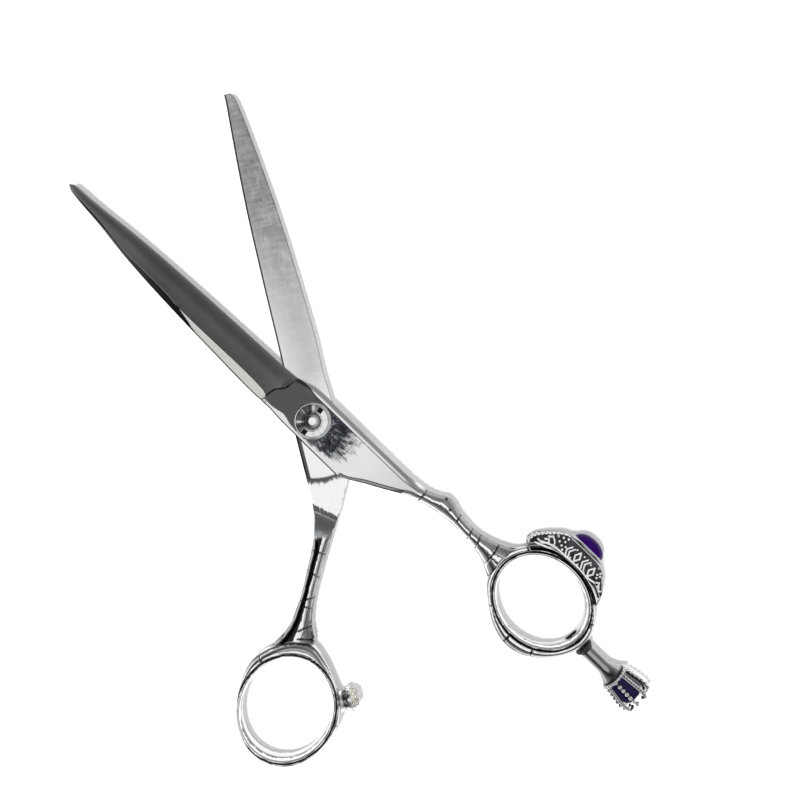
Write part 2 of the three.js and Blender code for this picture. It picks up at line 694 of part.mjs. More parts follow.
const turnedOver = new THREE.Group();
turnedOver.rotation.y = Math.PI;
turnedOver.add(thumbBlade(), thumbHandle(), stopperStud(), stopperCup(), stopperJewel());

const thumbHalf = new THREE.Group();
thumbHalf.position.z = PARTING;
thumbHalf.rotation.z = THREE.MathUtils.degToRad(-REST_OPENING);
thumbHalf.add(turnedOver);

const shears = new THREE.Group();
shears.add(fingerHalf, thumbHalf);
shears.add(pivotScrew(), pivotBush(), bearingWasher(), springWasher(), tensionNut());

export default shears;
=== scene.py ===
"""The looks of the hairdressing shears: smooth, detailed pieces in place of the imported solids.

Pieces are drawn in millimetres. A point of a half is (u, v, w): u across with the cutting edge at
+u, v along to the tip, w up from the parting plane between the two blades.
"""

import json
import math
from collections import namedtuple
from functools import reduce

import bmesh
import bpy
import numpy as np
from mathutils import Matrix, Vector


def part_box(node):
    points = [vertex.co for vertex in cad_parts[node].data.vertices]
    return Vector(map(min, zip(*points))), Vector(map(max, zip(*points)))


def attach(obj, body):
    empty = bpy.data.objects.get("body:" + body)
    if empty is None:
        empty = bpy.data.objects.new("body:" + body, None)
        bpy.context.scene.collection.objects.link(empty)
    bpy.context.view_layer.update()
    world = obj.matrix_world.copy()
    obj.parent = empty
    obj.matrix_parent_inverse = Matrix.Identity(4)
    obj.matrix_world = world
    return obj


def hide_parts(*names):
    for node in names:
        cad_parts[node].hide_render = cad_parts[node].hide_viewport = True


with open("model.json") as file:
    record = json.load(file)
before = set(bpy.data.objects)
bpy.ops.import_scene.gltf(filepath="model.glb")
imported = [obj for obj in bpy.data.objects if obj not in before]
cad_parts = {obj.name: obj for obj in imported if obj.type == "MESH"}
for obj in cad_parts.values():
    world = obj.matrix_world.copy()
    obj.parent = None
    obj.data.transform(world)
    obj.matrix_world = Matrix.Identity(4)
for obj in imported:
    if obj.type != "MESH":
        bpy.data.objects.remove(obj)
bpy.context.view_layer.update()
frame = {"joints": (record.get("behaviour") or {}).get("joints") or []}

MM = 0.001
JOINTS = {joint["name"]: joint for joint in frame["joints"]}
PARTING = JOINTS["blade_pivot"]["pos_m"][2] / MM
REST_X, REST_Z = (JOINTS["rest_turn"]["pos_m"][i] / MM for i in (0, 2))
BLADE_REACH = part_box("finger_blade")[1].y / MM
REST_OPENING = 31.2  # degrees between the blades as the shears lie open
RIDE = 0.15  # height of a ride face above the parting plane
PLATE_TOP = 2.9  # outer face of a pivot plate
WELD_RADIUS = 14.02  # arc where blade and handle meet, with a hair line between them
SHAFT_RADIUS = 1.95
NUT_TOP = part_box("tension_nut")[1].z / MM

# ---- Number helpers ----


def through(pairs):
    """A smooth curve through (position, value) pairs that never overshoots them."""
    ordered = sorted((float(p), float(x)) for p, x in pairs)
    position = np.array([p for p, _ in ordered])
    value = np.array([x for _, x in ordered])
    step = np.diff(position)
    slope = np.diff(value) / step
    tangent = np.zeros(len(position))
    for i in range(1, len(position) - 1):
        if slope[i - 1] * slope[i] > 0:
            tangent[i] = 2 * slope[i - 1] * slope[i] / (slope[i - 1] + slope[i])

    def curve(at):
        at = np.asarray(at, float)
        i = np.clip(np.searchsorted(position, at, "right") - 1, 0, len(position) - 2)
        t = np.clip((at - position[i]) / step[i], 0, 1)
        return (
            (2 * t**3 - 3 * t**2 + 1) * value[i]
            + (t**3 - 2 * t**2 + t) * step[i] * tangent[i]
            + (3 * t**2 - 2 * t**3) * value[i + 1]
            + (t**3 - t**2) * step[i] * tangent[i + 1]
        )

    return curve


def smooth_step(low, high, x):
    t = np.clip((np.asarray(x, float) - low) / (high - low), 0, 1)
    return t * t * (3 - 2 * t)


def bump(x, centre, width):
    return np.exp(-(((np.asarray(x, float) - centre) / width) ** 2))


def superellipse(angle, half_width, half_height, power):
    """A point of a superellipse: round where power is 2, squarer where it is more."""
    c, s = np.cos(angle), np.sin(angle)
    return (
        half_width * np.sign(c) * np.abs(c) ** (2 / power),
        half_height * np.sign(s) * np.abs(s) ** (2 / power),
    )


def closed_curve(points, per_span=24):
    """A smooth closed curve through points, as an array of points."""
    p = np.array(points, float)
    n = len(p)
    out = []
    for i in range(n):
        a, b, c, d = (p[(i + k) % n] for k in (-1, 0, 1, 2))
        t0, t1 = 0.0, np.linalg.norm(b - a) ** 0.5
        t2 = t1 + np.linalg.norm(c - b) ** 0.5
        t3 = t2 + np.linalg.norm(d - c) ** 0.5
        t = np.linspace(t1, t2, per_span, endpoint=False)[:, None]
        ab = (t1 - t) / (t1 - t0) * a + (t - t0) / (t1 - t0) * b
        bc = (t2 - t) / (t2 - t1) * b + (t - t1) / (t2 - t1) * c
        cd = (t3 - t) / (t3 - t2) * c + (t - t2) / (t3 - t2) * d
        abc = (t2 - t) / (t2 - t0) * ab + (t - t0) / (t2 - t0) * bc
        bcd = (t3 - t) / (t3 - t1) * bc + (t - t1) / (t3 - t1) * cd
        out.append((t2 - t) / (t2 - t1) * abc + (t - t1) / (t2 - t1) * bcd)
    return np.vstack(out)


def open_curve(points, count):
    """count points evenly spaced along a smooth open curve through points."""
    p = np.array(points, float)
    gaps = np.linalg.norm(np.diff(p, axis=0), axis=1)
    along = np.concatenate([[0], np.cumsum(gaps)])
    axes = [through(list(zip(along, p[:, k]))) for k in range(p.shape[1])]
    at = np.linspace(0, along[-1], count)
    return np.stack([axis(at) for axis in axes], axis=1)


# ---- Mesh helpers ----
Shell = namedtuple("Shell", "points faces")


def joined(shells):
    points, faces, offset = [], [], 0
    for shell in shells:
        points.append(shell.points)
        faces.extend([tuple(i + offset for i in face) for face in shell.faces])
        offset += len(shell.points)
    return Shell(np.vstack(points), faces)


def loft(sections, ring=False, cap="flat"):
    """A skin over closed loops of equal point counts; ring joins the last loop to the first.

    A strip cap joins each point of an end loop to its partner from the loop's other end.
    """
    sections = np.asarray(sections, float)
    rows, count = sections.shape[:2]
    faces = []
    for i in range(rows if ring else rows - 1):
        near, far = i * count, ((i + 1) % rows) * count
        for j in range(count):
            k = (j + 1) % count
            faces.append((near + j, near + k, far + k, far + j))
    last = (rows - 1) * count
    if cap == "flat" and not ring:
        faces.append(tuple(range(count))[::-1])
        faces.append(tuple(range(last, last + count)))
    if cap == "strip" and not ring:
        for start in (0, last):
            for j in range(count // 2 - 1):
                k = count - 1 - j
                faces.append((start + j, start + j + 1, start + k - 1, start + k))
    return Shell(sections.reshape(-1, 3), faces)


def turned(profile, sides=96):
    """A turned shell about +Z from (radius, height) pairs; pairs of radius 0 close it."""
    points, rows, faces = [], [], []
    for radius, height in profile:
        if radius == 0:
            rows.append([len(points)] * sides)
            points.append((0, 0, height))
            continue
        rows.append(list(range(len(points), len(points) + sides)))
        for k in range(sides):
            a = 2 * math.pi * k / sides
            points.append((radius * math.cos(a), radius * math.sin(a), height))
    hollow = profile[0][0] != 0
    for i in range(len(rows) if hollow else len(rows) - 1):
        near, far = rows[i], rows[(i + 1) % len(rows)]
        for j in range(sides):
            k = (j + 1) % sides
            corners = [near[j], near[k], far[k], far[j]]
            face = tuple(c for n, c in enumerate(corners) if c not in corners[:n])
            if len(face) > 2:
                faces.append(face)
    return Shell(np.array(points, float), faces)


def around(count, shift=0.0):
    """Angles of evenly spaced places round a circle; shift is a share of one gap."""
    return [2 * math.pi * (k + shift) / count for k in range(count)]


def tube(path, radius, sides=10, flat=1.0, up=(0, 0, 1)):
    """A round-ended tube along path; radius may vary along it; flat squashes it along up."""
    path = np.asarray(path, float)
    count = len(path)
    radius = np.broadcast_to(np.asarray(radius, float), (count,)).copy()
    tangent = np.gradient(path, axis=0)
    tangent /= np.linalg.norm(tangent, axis=1)[:, None]
    side = np.cross(tangent, np.broadcast_to(np.asarray(up, float), path.shape))
    side /= np.linalg.norm(side, axis=1)[:, None] + 1e-12
    normal = np.cross(side, tangent)
    ends = ((0.45, 0.85), (0.85, 0.5))  # share of the radius, and how far out it lies
    sections = [(0, share, -pull) for share, pull in ends]
    sections += [(i, 1.0, 0.0) for i in range(count)]
    sections += [(count - 1, share, pull) for share, pull in ends[::-1]]
    angle = np.linspace(0, 2 * math.pi, sides, endpoint=False)
    loops = []
    for i, share, pull in sections:
        centre = path[i] + tangent[i] * pull * radius[i]
        ring = (
            np.outer(np.cos(angle), side[i]) + np.outer(np.sin(angle) * flat, normal[i])
        ) * (radius[i] * share)
        loops.append(centre + ring)
    return loft(loops)


def bead(centre, radius, rings=7, sides=12, flat=1.0):
    profile = [(0, -radius * flat)]
    for i in range(1, rings):
        a = -math.pi / 2 + math.pi * i / rings
        profile.append((radius * math.cos(a), radius * math.sin(a) * flat))
    profile.append((0, radius * flat))
    shell = turned(profile, sides)
    return Shell(shell.points + np.asarray(centre, float), shell.faces)


def bead_ring(count, radius, height, *bead_sizes):
    return [bead((radius * math.cos(a), radius * math.sin(a), height), *bead_sizes)
            for a in around(count)]


def cylinder(radius, low, high, sides=64):
    return turned([(0, low), (radius, low), (radius, high), (0, high)], sides)


def box_shell(low, high):
    (x0, y0, z0), (x1, y1, z1) = low, high
    points = [(x, y, z) for z in (z0, z1) for y in (y0, y1) for x in (x0, x1)]
    faces = [(0, 2, 3, 1), (4, 5, 7, 6), (0, 1, 5, 4), (2, 6, 7, 3), (0, 4, 6, 2), (1, 3, 7, 5)]
    return Shell(np.array(points, float), faces)


def mesh_of(shell):
    mesh = bpy.data.meshes.new("shell")
    mesh.from_pydata([tuple(p) for p in shell.points], [], shell.faces)
    work = bmesh.new()
    work.from_mesh(mesh)
    bmesh.ops.remove_doubles(work, verts=work.verts, dist=1e-5)
    bmesh.ops.recalc_face_normals(work, faces=work.faces)
    work.to_mesh(mesh)
    work.free()
    return mesh


def combined(mesh, shell, operation):
    """mesh cut by, or joined with, a second closed shell."""
    objects = [bpy.data.objects.new("work", m) for m in (mesh, mesh_of(shell))]
    for item in objects:
        bpy.context.scene.collection.objects.link(item)
    modifier = objects[0].modifiers.new("join", "BOOLEAN")
    modifier.operation = operation
    modifier.solver = "EXACT"
    modifier.object = objects[1]
    bpy.context.view_layer.update()
    depsgraph = bpy.context.evaluated_depsgraph_get()
    result = bpy.data.meshes.new_from_object(objects[0].evaluated_get(depsgraph))
    for item in objects:
        bpy.data.objects.remove(item)
    return result


def points_of(mesh):
    flat = np.zeros(len(mesh.vertices) * 3, np.float32)
    mesh.vertices.foreach_get("co", flat)
    return flat.reshape(-1, 3).astype(float)


def set_points(mesh, points):
    """Gives a mesh its points, which are in millimetres."""
    mesh.vertices.foreach_set("co", (points * MM).astype(np.float32).ravel())
    mesh.update()


FAR = 9.0  # a distance mask away from every line
DISTANCES = ("left_gap", "right_gap")  # distance masks that polished steel reads on every piece


def add_piece(node, body, material, place, mesh, masks=None, sharp=28, name=None):
    """A finished piece in place of a CAD node.

    place takes its points to the row frame. masks are numbers, or functions of its points'
    coordinates, that its material reads; one that isn't given is 0. Folds of more than sharp
    degrees stay sharp.
    """
    points = points_of(mesh)
    for mask, values in {**dict.fromkeys(DISTANCES, FAR), **(masks or {})}.items():
        values = values(*points.T) if callable(values) else np.full(len(points), values)
        attribute = mesh.attributes.new(mask, "FLOAT", "POINT")
        attribute.data.foreach_set("value", np.asarray(values, np.float32))
    set_points(mesh, place(points))
    work = bmesh.new()
    work.from_mesh(mesh)
    bmesh.ops.recalc_face_normals(work, faces=work.faces)
    limit = math.radians(sharp)
    for edge in work.edges:
        edge.smooth = len(edge.link_faces) != 2 or edge.calc_face_angle(0) < limit
    for face in work.faces:
        face.smooth = True
    work.to_mesh(mesh)
    work.free()
    mesh.name = name or node + "_piece"
    piece = bpy.data.objects.new(mesh.name, mesh)
    bpy.context.scene.collection.objects.link(piece)
    mesh.materials.clear()
    mesh.materials.append(material)
    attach(piece, body)
    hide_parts(node)


# ---- Places in the row frame ----
def spun(p, degrees):
    """Points turned about +Z."""
    c, s = math.cos(math.radians(degrees)), math.sin(math.radians(degrees))
    return np.stack([p[:, 0] * c - p[:, 1] * s, p[:, 0] * s + p[:, 1] * c, p[:, 2]], axis=1)


def finger_place(p):
    return p + (0, 0, PARTING)


def thumb_place(p):
    return spun(np.stack([-p[:, 0], p[:, 1], PARTING - p[:, 2]], axis=1), -REST_OPENING)


def row_place(p):
    return p


def rest_place(p):
    """From about +Z, with z counting down the rest's axis, to along -Y."""
    return np.stack([REST_X + p[:, 0], -p[:, 2], REST_Z + p[:, 1]], axis=1)


def stopper_place(p):
    """From about +Z, with z towards the finger ring, to the thumb ring."""
    return thumb_place(np.stack([-p[:, 2], STOPPER_V + p[:, 1], p[:, 0]], axis=1))


# ---- Material helpers ----
class Nodes:
    """Builds a node tree. A value is a number, a colour or the output of another node."""

    def __init__(self, tree):
        self.tree = tree

    def feed(self, socket, value):
        if isinstance(value, bpy.types.NodeSocket):
            self.tree.links.new(value, socket)
        else:
            socket.default_value = (*value, 1) if isinstance(value, tuple) else value

    def node(self, kind, inputs=None, **settings):
        """A new node with its settings and the values of its input sockets."""
        made = self.tree.nodes.new(kind)
        for key, value in settings.items():
            setattr(made, key, value)
        for socket, value in (inputs or {}).items():
            self.feed(made.inputs[socket], value)
        return made

    def coordinates(self, kind="Object"):
        return self.node("ShaderNodeTexCoord").outputs[kind]

    def mapped(self, vector, setting, value, vector_type="POINT"):
        made = self.node("ShaderNodeMapping", {"Vector": vector}, vector_type=vector_type)
        made.inputs[setting].default_value = value
        return made.outputs["Vector"]

    def split(self, vector):
        return self.node("ShaderNodeSeparateXYZ", {"Vector": vector}).outputs

    def maths(self, operation, *values, **settings):
        inputs = dict(enumerate(values))
        return self.node("ShaderNodeMath", inputs, operation=operation, **settings).outputs["Value"]

    def times(self, *values):
        return reduce(lambda a, b: self.maths("MULTIPLY", a, b), values)

    def plus(self, *values):
        return reduce(lambda a, b: self.maths("ADD", a, b), values)

    def most(self, *values):
        return reduce(lambda a, b: self.maths("MAXIMUM", a, b), values)

    def mix(self, share, a, b):
        inputs = {0: share, 6: a, 7: b}  # the colour sockets of a Mix node
        return self.node("ShaderNodeMix", inputs, data_type="RGBA").outputs[2]

    def mix_value(self, share, a, b):
        inputs = {0: share, 2: a, 3: b}  # its number sockets
        return self.node("ShaderNodeMix", inputs, data_type="FLOAT").outputs[0]

    def ramp(self, value, stops):
        """Grey levels or colours from (position, level) stops."""
        made = self.node("ShaderNodeValToRGB", {"Fac": value})
        ramp = made.color_ramp
        while len(ramp.elements) < len(stops):
            ramp.elements.new(0.5)
        for element, (position, level) in zip(ramp.elements, stops):
            element.position = position
            element.color = (*(level if isinstance(level, tuple) else (level,) * 3), 1)
        return made.outputs["Color"]


class Shader(Nodes):
    """A Principled material built node by node."""

    def __init__(self, name, **values):
        self.material = bpy.data.materials.new(name)
        self.material.use_nodes = True
        super().__init__(self.material.node_tree)
        self.surface = self.tree.nodes["Principled BSDF"]
        for socket, value in values.items():
            self.surface.inputs[socket.replace("_", " ")].default_value = value

    def mask(self, name):
        return self.node("ShaderNodeAttribute", attribute_name=name).outputs["Fac"]

    def place(self, turn=0.0, scale=(1, 1, 1)):
        """Object coordinates turned about Z and then scaled."""
        turned_about = (0, 0, math.radians(turn))
        vector = self.mapped(self.coordinates(), "Rotation", turned_about, "TEXTURE")
        return self.mapped(vector, "Scale", scale)

    def noise(self, vector, scale, detail=3.0, roughness=0.5, distortion=0.0):
        inputs = {"Vector": vector, "Scale": scale, "Detail": detail, "Roughness": roughness,
                  "Distortion": distortion}
        return self.node("ShaderNodeTexNoise", inputs).outputs["Fac"]

    def rays(self, across, outward, detail=3.0, roughness=0.55):
        """Noise in streaks that run out from the pivot."""
        x, y, _ = self.split(self.coordinates())
        turn = self.times(self.maths("ARCTAN2", y, x), across)
        reach = self.maths("POWER", self.plus(self.times(x, x), self.times(y, y)), 0.5)
        both = self.node("ShaderNodeCombineXYZ", {"X": turn, "Y": self.times(reach, outward)})
        return self.noise(both.outputs["Vector"], 1.0, detail, roughness)

    def line(self, distance, at, half_width):
        """1 where a distance mask is within half_width of at."""
        return self.maths("COMPARE", self.mask(distance), at, half_width)

    def ragged(self, mask, noise, amount, low, high):
        """A mask whose border is broken up by noise."""
        shifted = self.plus(mask, self.times(self.maths("SUBTRACT", noise, 0.5), amount))
        edge = self.ramp(shifted, [(low, 0.0), (high, 1.0)])
        return self.times(edge, self.ramp(mask, [(0.0, 0.0), (0.12, 1.0)]))

    def finished(self, colour, rough, *bumps):
        """The material, with bumps, one over the other, of (height, strength, distance in m)."""
        self.feed(self.surface.inputs["Base Color"], colour)
        self.feed(self.surface.inputs["Roughness"], rough)
        normal = None
        for height, strength, distance in bumps:
            inputs = {"Height": height, "Strength": strength, "Distance": distance}
            if normal is not None:
                inputs["Normal"] = normal
            normal = self.node("ShaderNodeBump", inputs).outputs["Normal"]
        if normal is not None:
            self.feed(self.surface.inputs["Normal"], normal)
        return self.material


SOOT_AND_PAINTED_SHADE = (0.01, 0.01, 0.012)  # what is left in grooves, and painted shade along outlines, in holes and in creases


def shaded(colour, share):
    return tuple(c * share for c in colour)


def blade_material(name, turn, satin, edge_glow, plate, patch_tone, marks, flute_tone):
    """Ground steel with lines across the blade, a bright plate, a painted sheen, painted dark
    outlines and painted, ragged dark reflections.

    The masks edge_gap, back_gap, chamfer_gap and bevel_gap are distances in mm; the others go from
    0 to 1.
    """
    s = Shader(name, Metallic=1.0, Roughness=0.3)
    plain = s.place(turn)
    fine = s.noise(s.place(turn, (0.12, 1, 1)), 1700, 2, 0.55)
    cloud = s.noise(plain, 150, 5, 0.66, 0.9)
    patchy = s.noise(s.place(turn, (1, 0.4, 1)), 620, 5, 0.7, 0.8)
    grain = s.plus(s.times(fine, 0.3), s.times(cloud, 0.35), s.times(patchy, 0.35))
    # Painted sheen: the glow mask lightens the satin towards the edge tone.
    body = s.mix(s.mask("glow"), s.ramp(grain, [(0.36, satin[0]), (0.62, satin[1])]), edge_glow)
    body = s.mix(s.times(s.ramp(patchy, [(0.56, 0.0), (0.7, 1.0)]), marks), body, edge_glow)
    pale = s.ramp(s.noise(plain, 45, 2, 0.5), [(0.3, shaded(plate, 0.94)), (0.7, plate)])
    body = s.mix(s.mask("polish"), body, pale)
    body = s.mix(s.maths("GREATER_THAN", s.mask("flute"), 0.5), body, flute_tone)
    # Painted dark reflection on the plate, deepest below the nut, and painted shade on the plate's
    # chamfer.
    off_chamfer = s.maths("GREATER_THAN", s.mask("chamfer_gap"), 0.0)
    border = s.plus(s.times(s.rays(20, 90, 5, 0.75), 0.5),
                    s.times(s.noise(plain, 600, 5, 0.75, 0.6), 0.5))
    painted_reflection = s.ragged(s.mask("painted_reflection"), border, 5.6, 0.1, 1.0)
    mottle = s.plus(s.times(s.rays(16, 200, 5, 0.74), 0.35),
                    s.times(s.noise(plain, 700, 5, 0.75, 1.0), 0.65))
    streaks = s.ramp(mottle, [(0.45, (0.012, 0.014, 0.019)), (0.53, (0.06, 0.065, 0.075)),
                              (0.62, (0.4, 0.41, 0.42))])
    dark = s.mix(s.mask("painted_reflection_core"), patch_tone, streaks)
    body = s.mix(s.times(painted_reflection, off_chamfer), body, dark)
    on_chamfer = s.times(s.mask("shade"), s.maths("SUBTRACT", 1.0, off_chamfer))
    body = s.mix(on_chamfer, body, (0.13, 0.135, 0.14))
    # Painted dark outlines, a painted dark reflection on the bevel along the back, and the painted
    # highlight line beside it.
    rim = s.most(s.times(s.line("back_gap", 0.0, 0.3), s.mask("back_line")),
                 s.times(s.line("edge_gap", 0.0, 0.42), s.mask("edge_line")),
                 s.times(s.line("chamfer_gap", 0.08, 0.1), s.mask("inner_line")),
                 s.line("flute", 0.34, 0.16))
    bevel = s.times(s.maths("LESS_THAN", s.mask("bevel_gap"), 0.0),
                    s.maths("LESS_THAN", s.mask("flute"), 0.1))
    soot_and_painted_dark = s.most(s.mask("soot_and_shade"), s.times(bevel, 0.93), s.times(rim, 0.9))
    body = s.mix(s.times(s.line("bevel_gap", 0.07, 0.08), 0.55), body, edge_glow)
    rough = s.mix_value(s.mask("polish"), s.ramp(patchy, [(0.3, 0.27), (0.7, 0.33)]), 0.08)
    ground = s.maths("SUBTRACT", 1.0, s.mask("polish"))
    return s.finished(s.mix(soot_and_painted_dark, body, SOOT_AND_PAINTED_SHADE), rough,
                      (s.times(fine, ground), 0.12, 0.00003),
                      (s.times(patchy, ground), 0.05, 0.00006),
                      (cloud, 0.04, 0.0002))


def polished_material(name, light=(0.9, 0.905, 0.91), rough=(0.04, 0.08), wave=0.1, stem=(),
                      hoop=()):
    """Mirror-polished casting, faintly wavy, with soot left in its engraved lines; painted
    reflection stripes, painted shade and painted dark lines are in its colour.
    """
    s = Shader(name, Metallic=1.0, Roughness=0.08)
    plain = s.place()
    swell = s.noise(plain, 260, 3, 0.5, 0.4)
    haze = s.noise(plain, 900, 4, 0.6)
    scratch = s.noise(s.place(25, (1, 0.1, 1)), 3000, 2, 0.5)
    tone = s.ramp(haze, [(0.35, shaded(light, 0.96)), (0.65, light)])
    # Painted shade: the dim mask darkens the tone.
    tone = s.mix(s.mask("dim"), tone, shaded(light, 0.66))
    # Painted reflection stripes across the round shanks and round the rings.
    bends = s.maths("SUBTRACT", s.noise(plain, 420, 5, 0.65, 0.5), 0.5)
    for mask, stops in (("stem", stem), ("hoop", hoop)):
        if stops:
            stripes = s.ramp(s.plus(s.mask(mask), s.times(bends, 0.22)), stops)
            tone = s.mix(s.mask(mask + "_here"), tone, stripes)
    # Painted shade: ragged dark streaks, and flat grey over facets and walls.
    shade = s.ragged(s.mask("shade"), s.rays(34, 40, 5, 0.75), 2.4, 0.35, 0.75)
    tone = s.mix(s.mask("grey_shade"), tone, (0.34, 0.352, 0.36))
    tone = s.mix(s.times(shade, 0.94), tone, (0.05, 0.053, 0.056))
    # Painted grey band and painted dark lines along the sides of the plates.
    tone = s.mix(s.line("left_gap", 0.5, 0.5), tone, (0.3, 0.305, 0.31))
    lines = s.most(s.line("right_gap", 1.58, 0.1), s.line("left_gap", 1.0, 0.14),
                   s.line("left_gap", 0.08, 0.2))
    uneven = s.ramp(s.noise(plain, 1600, 3, 0.6), [(0.25, 0.8), (0.6, 1.0)])
    soot_and_painted_lines = s.most(s.times(s.mask("soot_and_shade"), uneven), s.times(lines, 0.9))
    gloss = s.mix_value(s.mask("soot_and_shade"), s.ramp(haze, [(0.3, rough[0]), (0.7, rough[1])]), 0.45)
    return s.finished(s.mix(soot_and_painted_lines, tone, SOOT_AND_PAINTED_SHADE), gloss, (swell, wave, 0.0006),
                      (scratch, 0.03, 0.00003))


def nut_material(name):
    """Turned steel with painted highlights in rays and painted shade on one side."""
    s = Shader(name, Metallic=1.0, Roughness=0.16)
    rays = s.rays(2.4, 40, 3, 0.5)
    dark = s.ramp(rays, [(0.4, (0.045, 0.045, 0.047)), (0.52, (0.12, 0.12, 0.125)),
                         (0.6, (0.62, 0.62, 0.63))])
    light = s.ramp(rays, [(0.3, (0.55, 0.55, 0.56)), (0.55, (0.8, 0.8, 0.8))])
    tone = s.mix(s.mask("shade"), light, dark)
    rings = s.noise(s.place(), 2600, 2, 0.5)
    return s.finished(s.mix(s.mask("soot_and_shade"), tone, SOOT_AND_PAINTED_SHADE), s.ramp(rays, [(0.3, 0.1), (0.7, 0.22)]),
                      (rings, 0.08, 0.00004))


def oxidised_material(name):
    """Dark oxidised silver, rubbed bright where it stands proud."""
    s = Shader(name, Metallic=1.0, Roughness=0.35)
    plain = s.place()
    grain = s.noise(plain, 2200, 4, 0.6)
    blotch = s.noise(plain, 420, 3, 0.6)
    dark = s.ramp(blotch, [(0.3, (0.03, 0.031, 0.034)), (0.7, (0.10, 0.105, 0.112))])
    bright = s.ramp(grain, [(0.3, (0.7, 0.7, 0.71)), (0.7, (0.95, 0.95, 0.96))])
    uneven = s.times(s.maths("SUBTRACT", blotch, 0.5), 0.35)
    rub = s.ramp(s.plus(s.mask("rub"), uneven), [(0.3, 0.0), (0.75, 1.0)])
    rough = s.mix_value(rub, s.ramp(grain, [(0.3, 0.38), (0.7, 0.5)]), 0.16)
    return s.finished(s.mix(rub, dark, bright), rough, (grain, 0.25, 0.00006),
                      (blotch, 0.15, 0.0002))


def stone_material(name, deep, light):
    """A polished opaque stone with faint veins."""
    s = Shader(name, Roughness=0.08, IOR=1.15, Specular_IOR_Level=0.4)
    plain = s.place()
    cloud = s.noise(plain, 260, 5, 0.6, 1.2)
    vein = s.ramp(s.noise(plain, 700, 3, 0.5, 2.0), [(0.47, 0.0), (0.5, 1.0), (0.53, 0.0)])
    tone = s.ramp(cloud, [(0.3, deep), (0.7, light)])
    tone = s.mix(s.times(vein, 0.12), tone, shaded(light, 2.4))
    return s.finished(tone, s.ramp(cloud, [(0.3, 0.05), (0.7, 0.12)]), (cloud, 0.03, 0.0002))


def crystal_material(name):
    s = Shader(name, Roughness=0.03, IOR=1.55, Transmission_Weight=0.85)
    cloud = s.noise(s.place(), 500, 4, 0.6, 0.8)
    tone = s.ramp(cloud, [(0.3, (0.93, 0.9, 0.8)), (0.7, (0.99, 0.98, 0.95))])
    return s.finished(tone, s.ramp(cloud, [(0.3, 0.01), (0.7, 0.06)]))


def grainy_material(name, grain, tones, rough, strength, depth, **values):
    """A plain material with a fine grain; grain is the noise's scale, detail and roughness."""
    s = Shader(name, **values)
    fine = s.noise(s.place(), *grain)
    return s.finished(s.ramp(fine, list(zip((0.3, 0.7), tones))),
                      s.ramp(fine, list(zip((0.3, 0.7), rough))), (fine, strength, depth))


FINGER_STEEL = blade_material(
    "finger_blade_steel", 0, satin=((0.07, 0.07, 0.071), (0.095, 0.095, 0.097)),
    edge_glow=(0.33, 0.33, 0.334), plate=(0.78, 0.78, 0.77), patch_tone=(0.088, 0.088, 0.09),
    marks=0.06, flute_tone=(0.6, 0.595, 0.57))
THUMB_STEEL = blade_material(
    "thumb_blade_steel", -REST_OPENING, satin=((0.2, 0.2, 0.196), (0.48, 0.48, 0.468)),
    edge_glow=(0.82, 0.82, 0.81), plate=(0.9, 0.9, 0.895), patch_tone=(0.1, 0.1, 0.1),
    marks=0.35, flute_tone=(0.6, 0.6, 0.6))
# Painted reflection stripes: tones across a round shank, by share of its width, and round a ring,
# from bore to outline.
FINGER_STEM_PAINTED_REFLECTIONS = [(0.0, 0.1), (0.05, 0.15), (0.08, 0.9), (0.36, 0.9), (0.39, 0.08), (0.43, 0.08),
               (0.46, 0.9), (0.56, 0.9), (0.58, 0.1), (0.61, 0.12), (0.64, 0.55), (0.8, 0.5),
               (0.84, 0.3), (0.95, 0.26), (0.975, 0.06), (1.0, 0.05)]
THUMB_STEM_PAINTED_REFLECTIONS = [(0.0, 0.05), (0.04, 0.08), (0.07, 0.32), (0.24, 0.4), (0.28, 0.12), (0.31, 0.8),
              (0.47, 0.9), (0.5, 0.02), (0.8, 0.02), (0.83, 0.3), (0.94, 0.36), (0.955, 0.04),
              (1.0, 0.03)]
HOOP_PAINTED_REFLECTIONS = [(0.0, 0.1), (0.03, 0.15), (0.06, 0.9), (0.23, 0.85), (0.26, 0.02), (0.35, 0.02),
        (0.39, 0.8), (0.53, 0.9), (0.57, 0.1), (0.62, 0.14), (0.66, 0.75), (0.82, 0.6),
        (0.87, 0.05), (1.0, 0.04)]
FINGER_POLISH = polished_material("finger_handle_steel", stem=FINGER_STEM_PAINTED_REFLECTIONS, hoop=HOOP_PAINTED_REFLECTIONS)
THUMB_POLISH = polished_material("thumb_handle_steel", stem=THUMB_STEM_PAINTED_REFLECTIONS, hoop=HOOP_PAINTED_REFLECTIONS)
NUT_STEEL = nut_material("nut_steel")
PLAIN_CHROME = polished_material("pivot_steel", (0.84, 0.845, 0.85), (0.08, 0.14), 0.06)
STEM_STEEL = polished_material("stem_steel", (0.36, 0.36, 0.37), (0.1, 0.14), 0.06)
SILVER = oxidised_material("oxidised_silver")
PURPLE = stone_material("purple_stone", (0.017, 0.0015, 0.07), (0.028, 0.003, 0.11))
BLUE = stone_material("blue_stone", (0.006, 0.005, 0.02), (0.016, 0.014, 0.05))
CRYSTAL = crystal_material("crystal")
RUBBER = grainy_material("washer_rubber", (2600, 4, 0.65),
                         ((0.006, 0.006, 0.008), (0.022, 0.022, 0.025)), (0.42, 0.62), 0.3,
                         0.00008, Roughness=0.55, IOR=1.5)
NYLON = grainy_material("nylon", (1500, 4, 0.6), ((0.78, 0.76, 0.7), (0.88, 0.87, 0.82)),
                        (0.36, 0.5625), 0.1, 0.00005, Roughness=0.45)
BRONZE = grainy_material("bronze", (1500, 4, 0.6), ((0.5, 0.32, 0.14), (0.66, 0.45, 0.22)),
                         (0.2, 0.3125), 0.1, 0.00005, Metallic=1.0, Roughness=0.25)

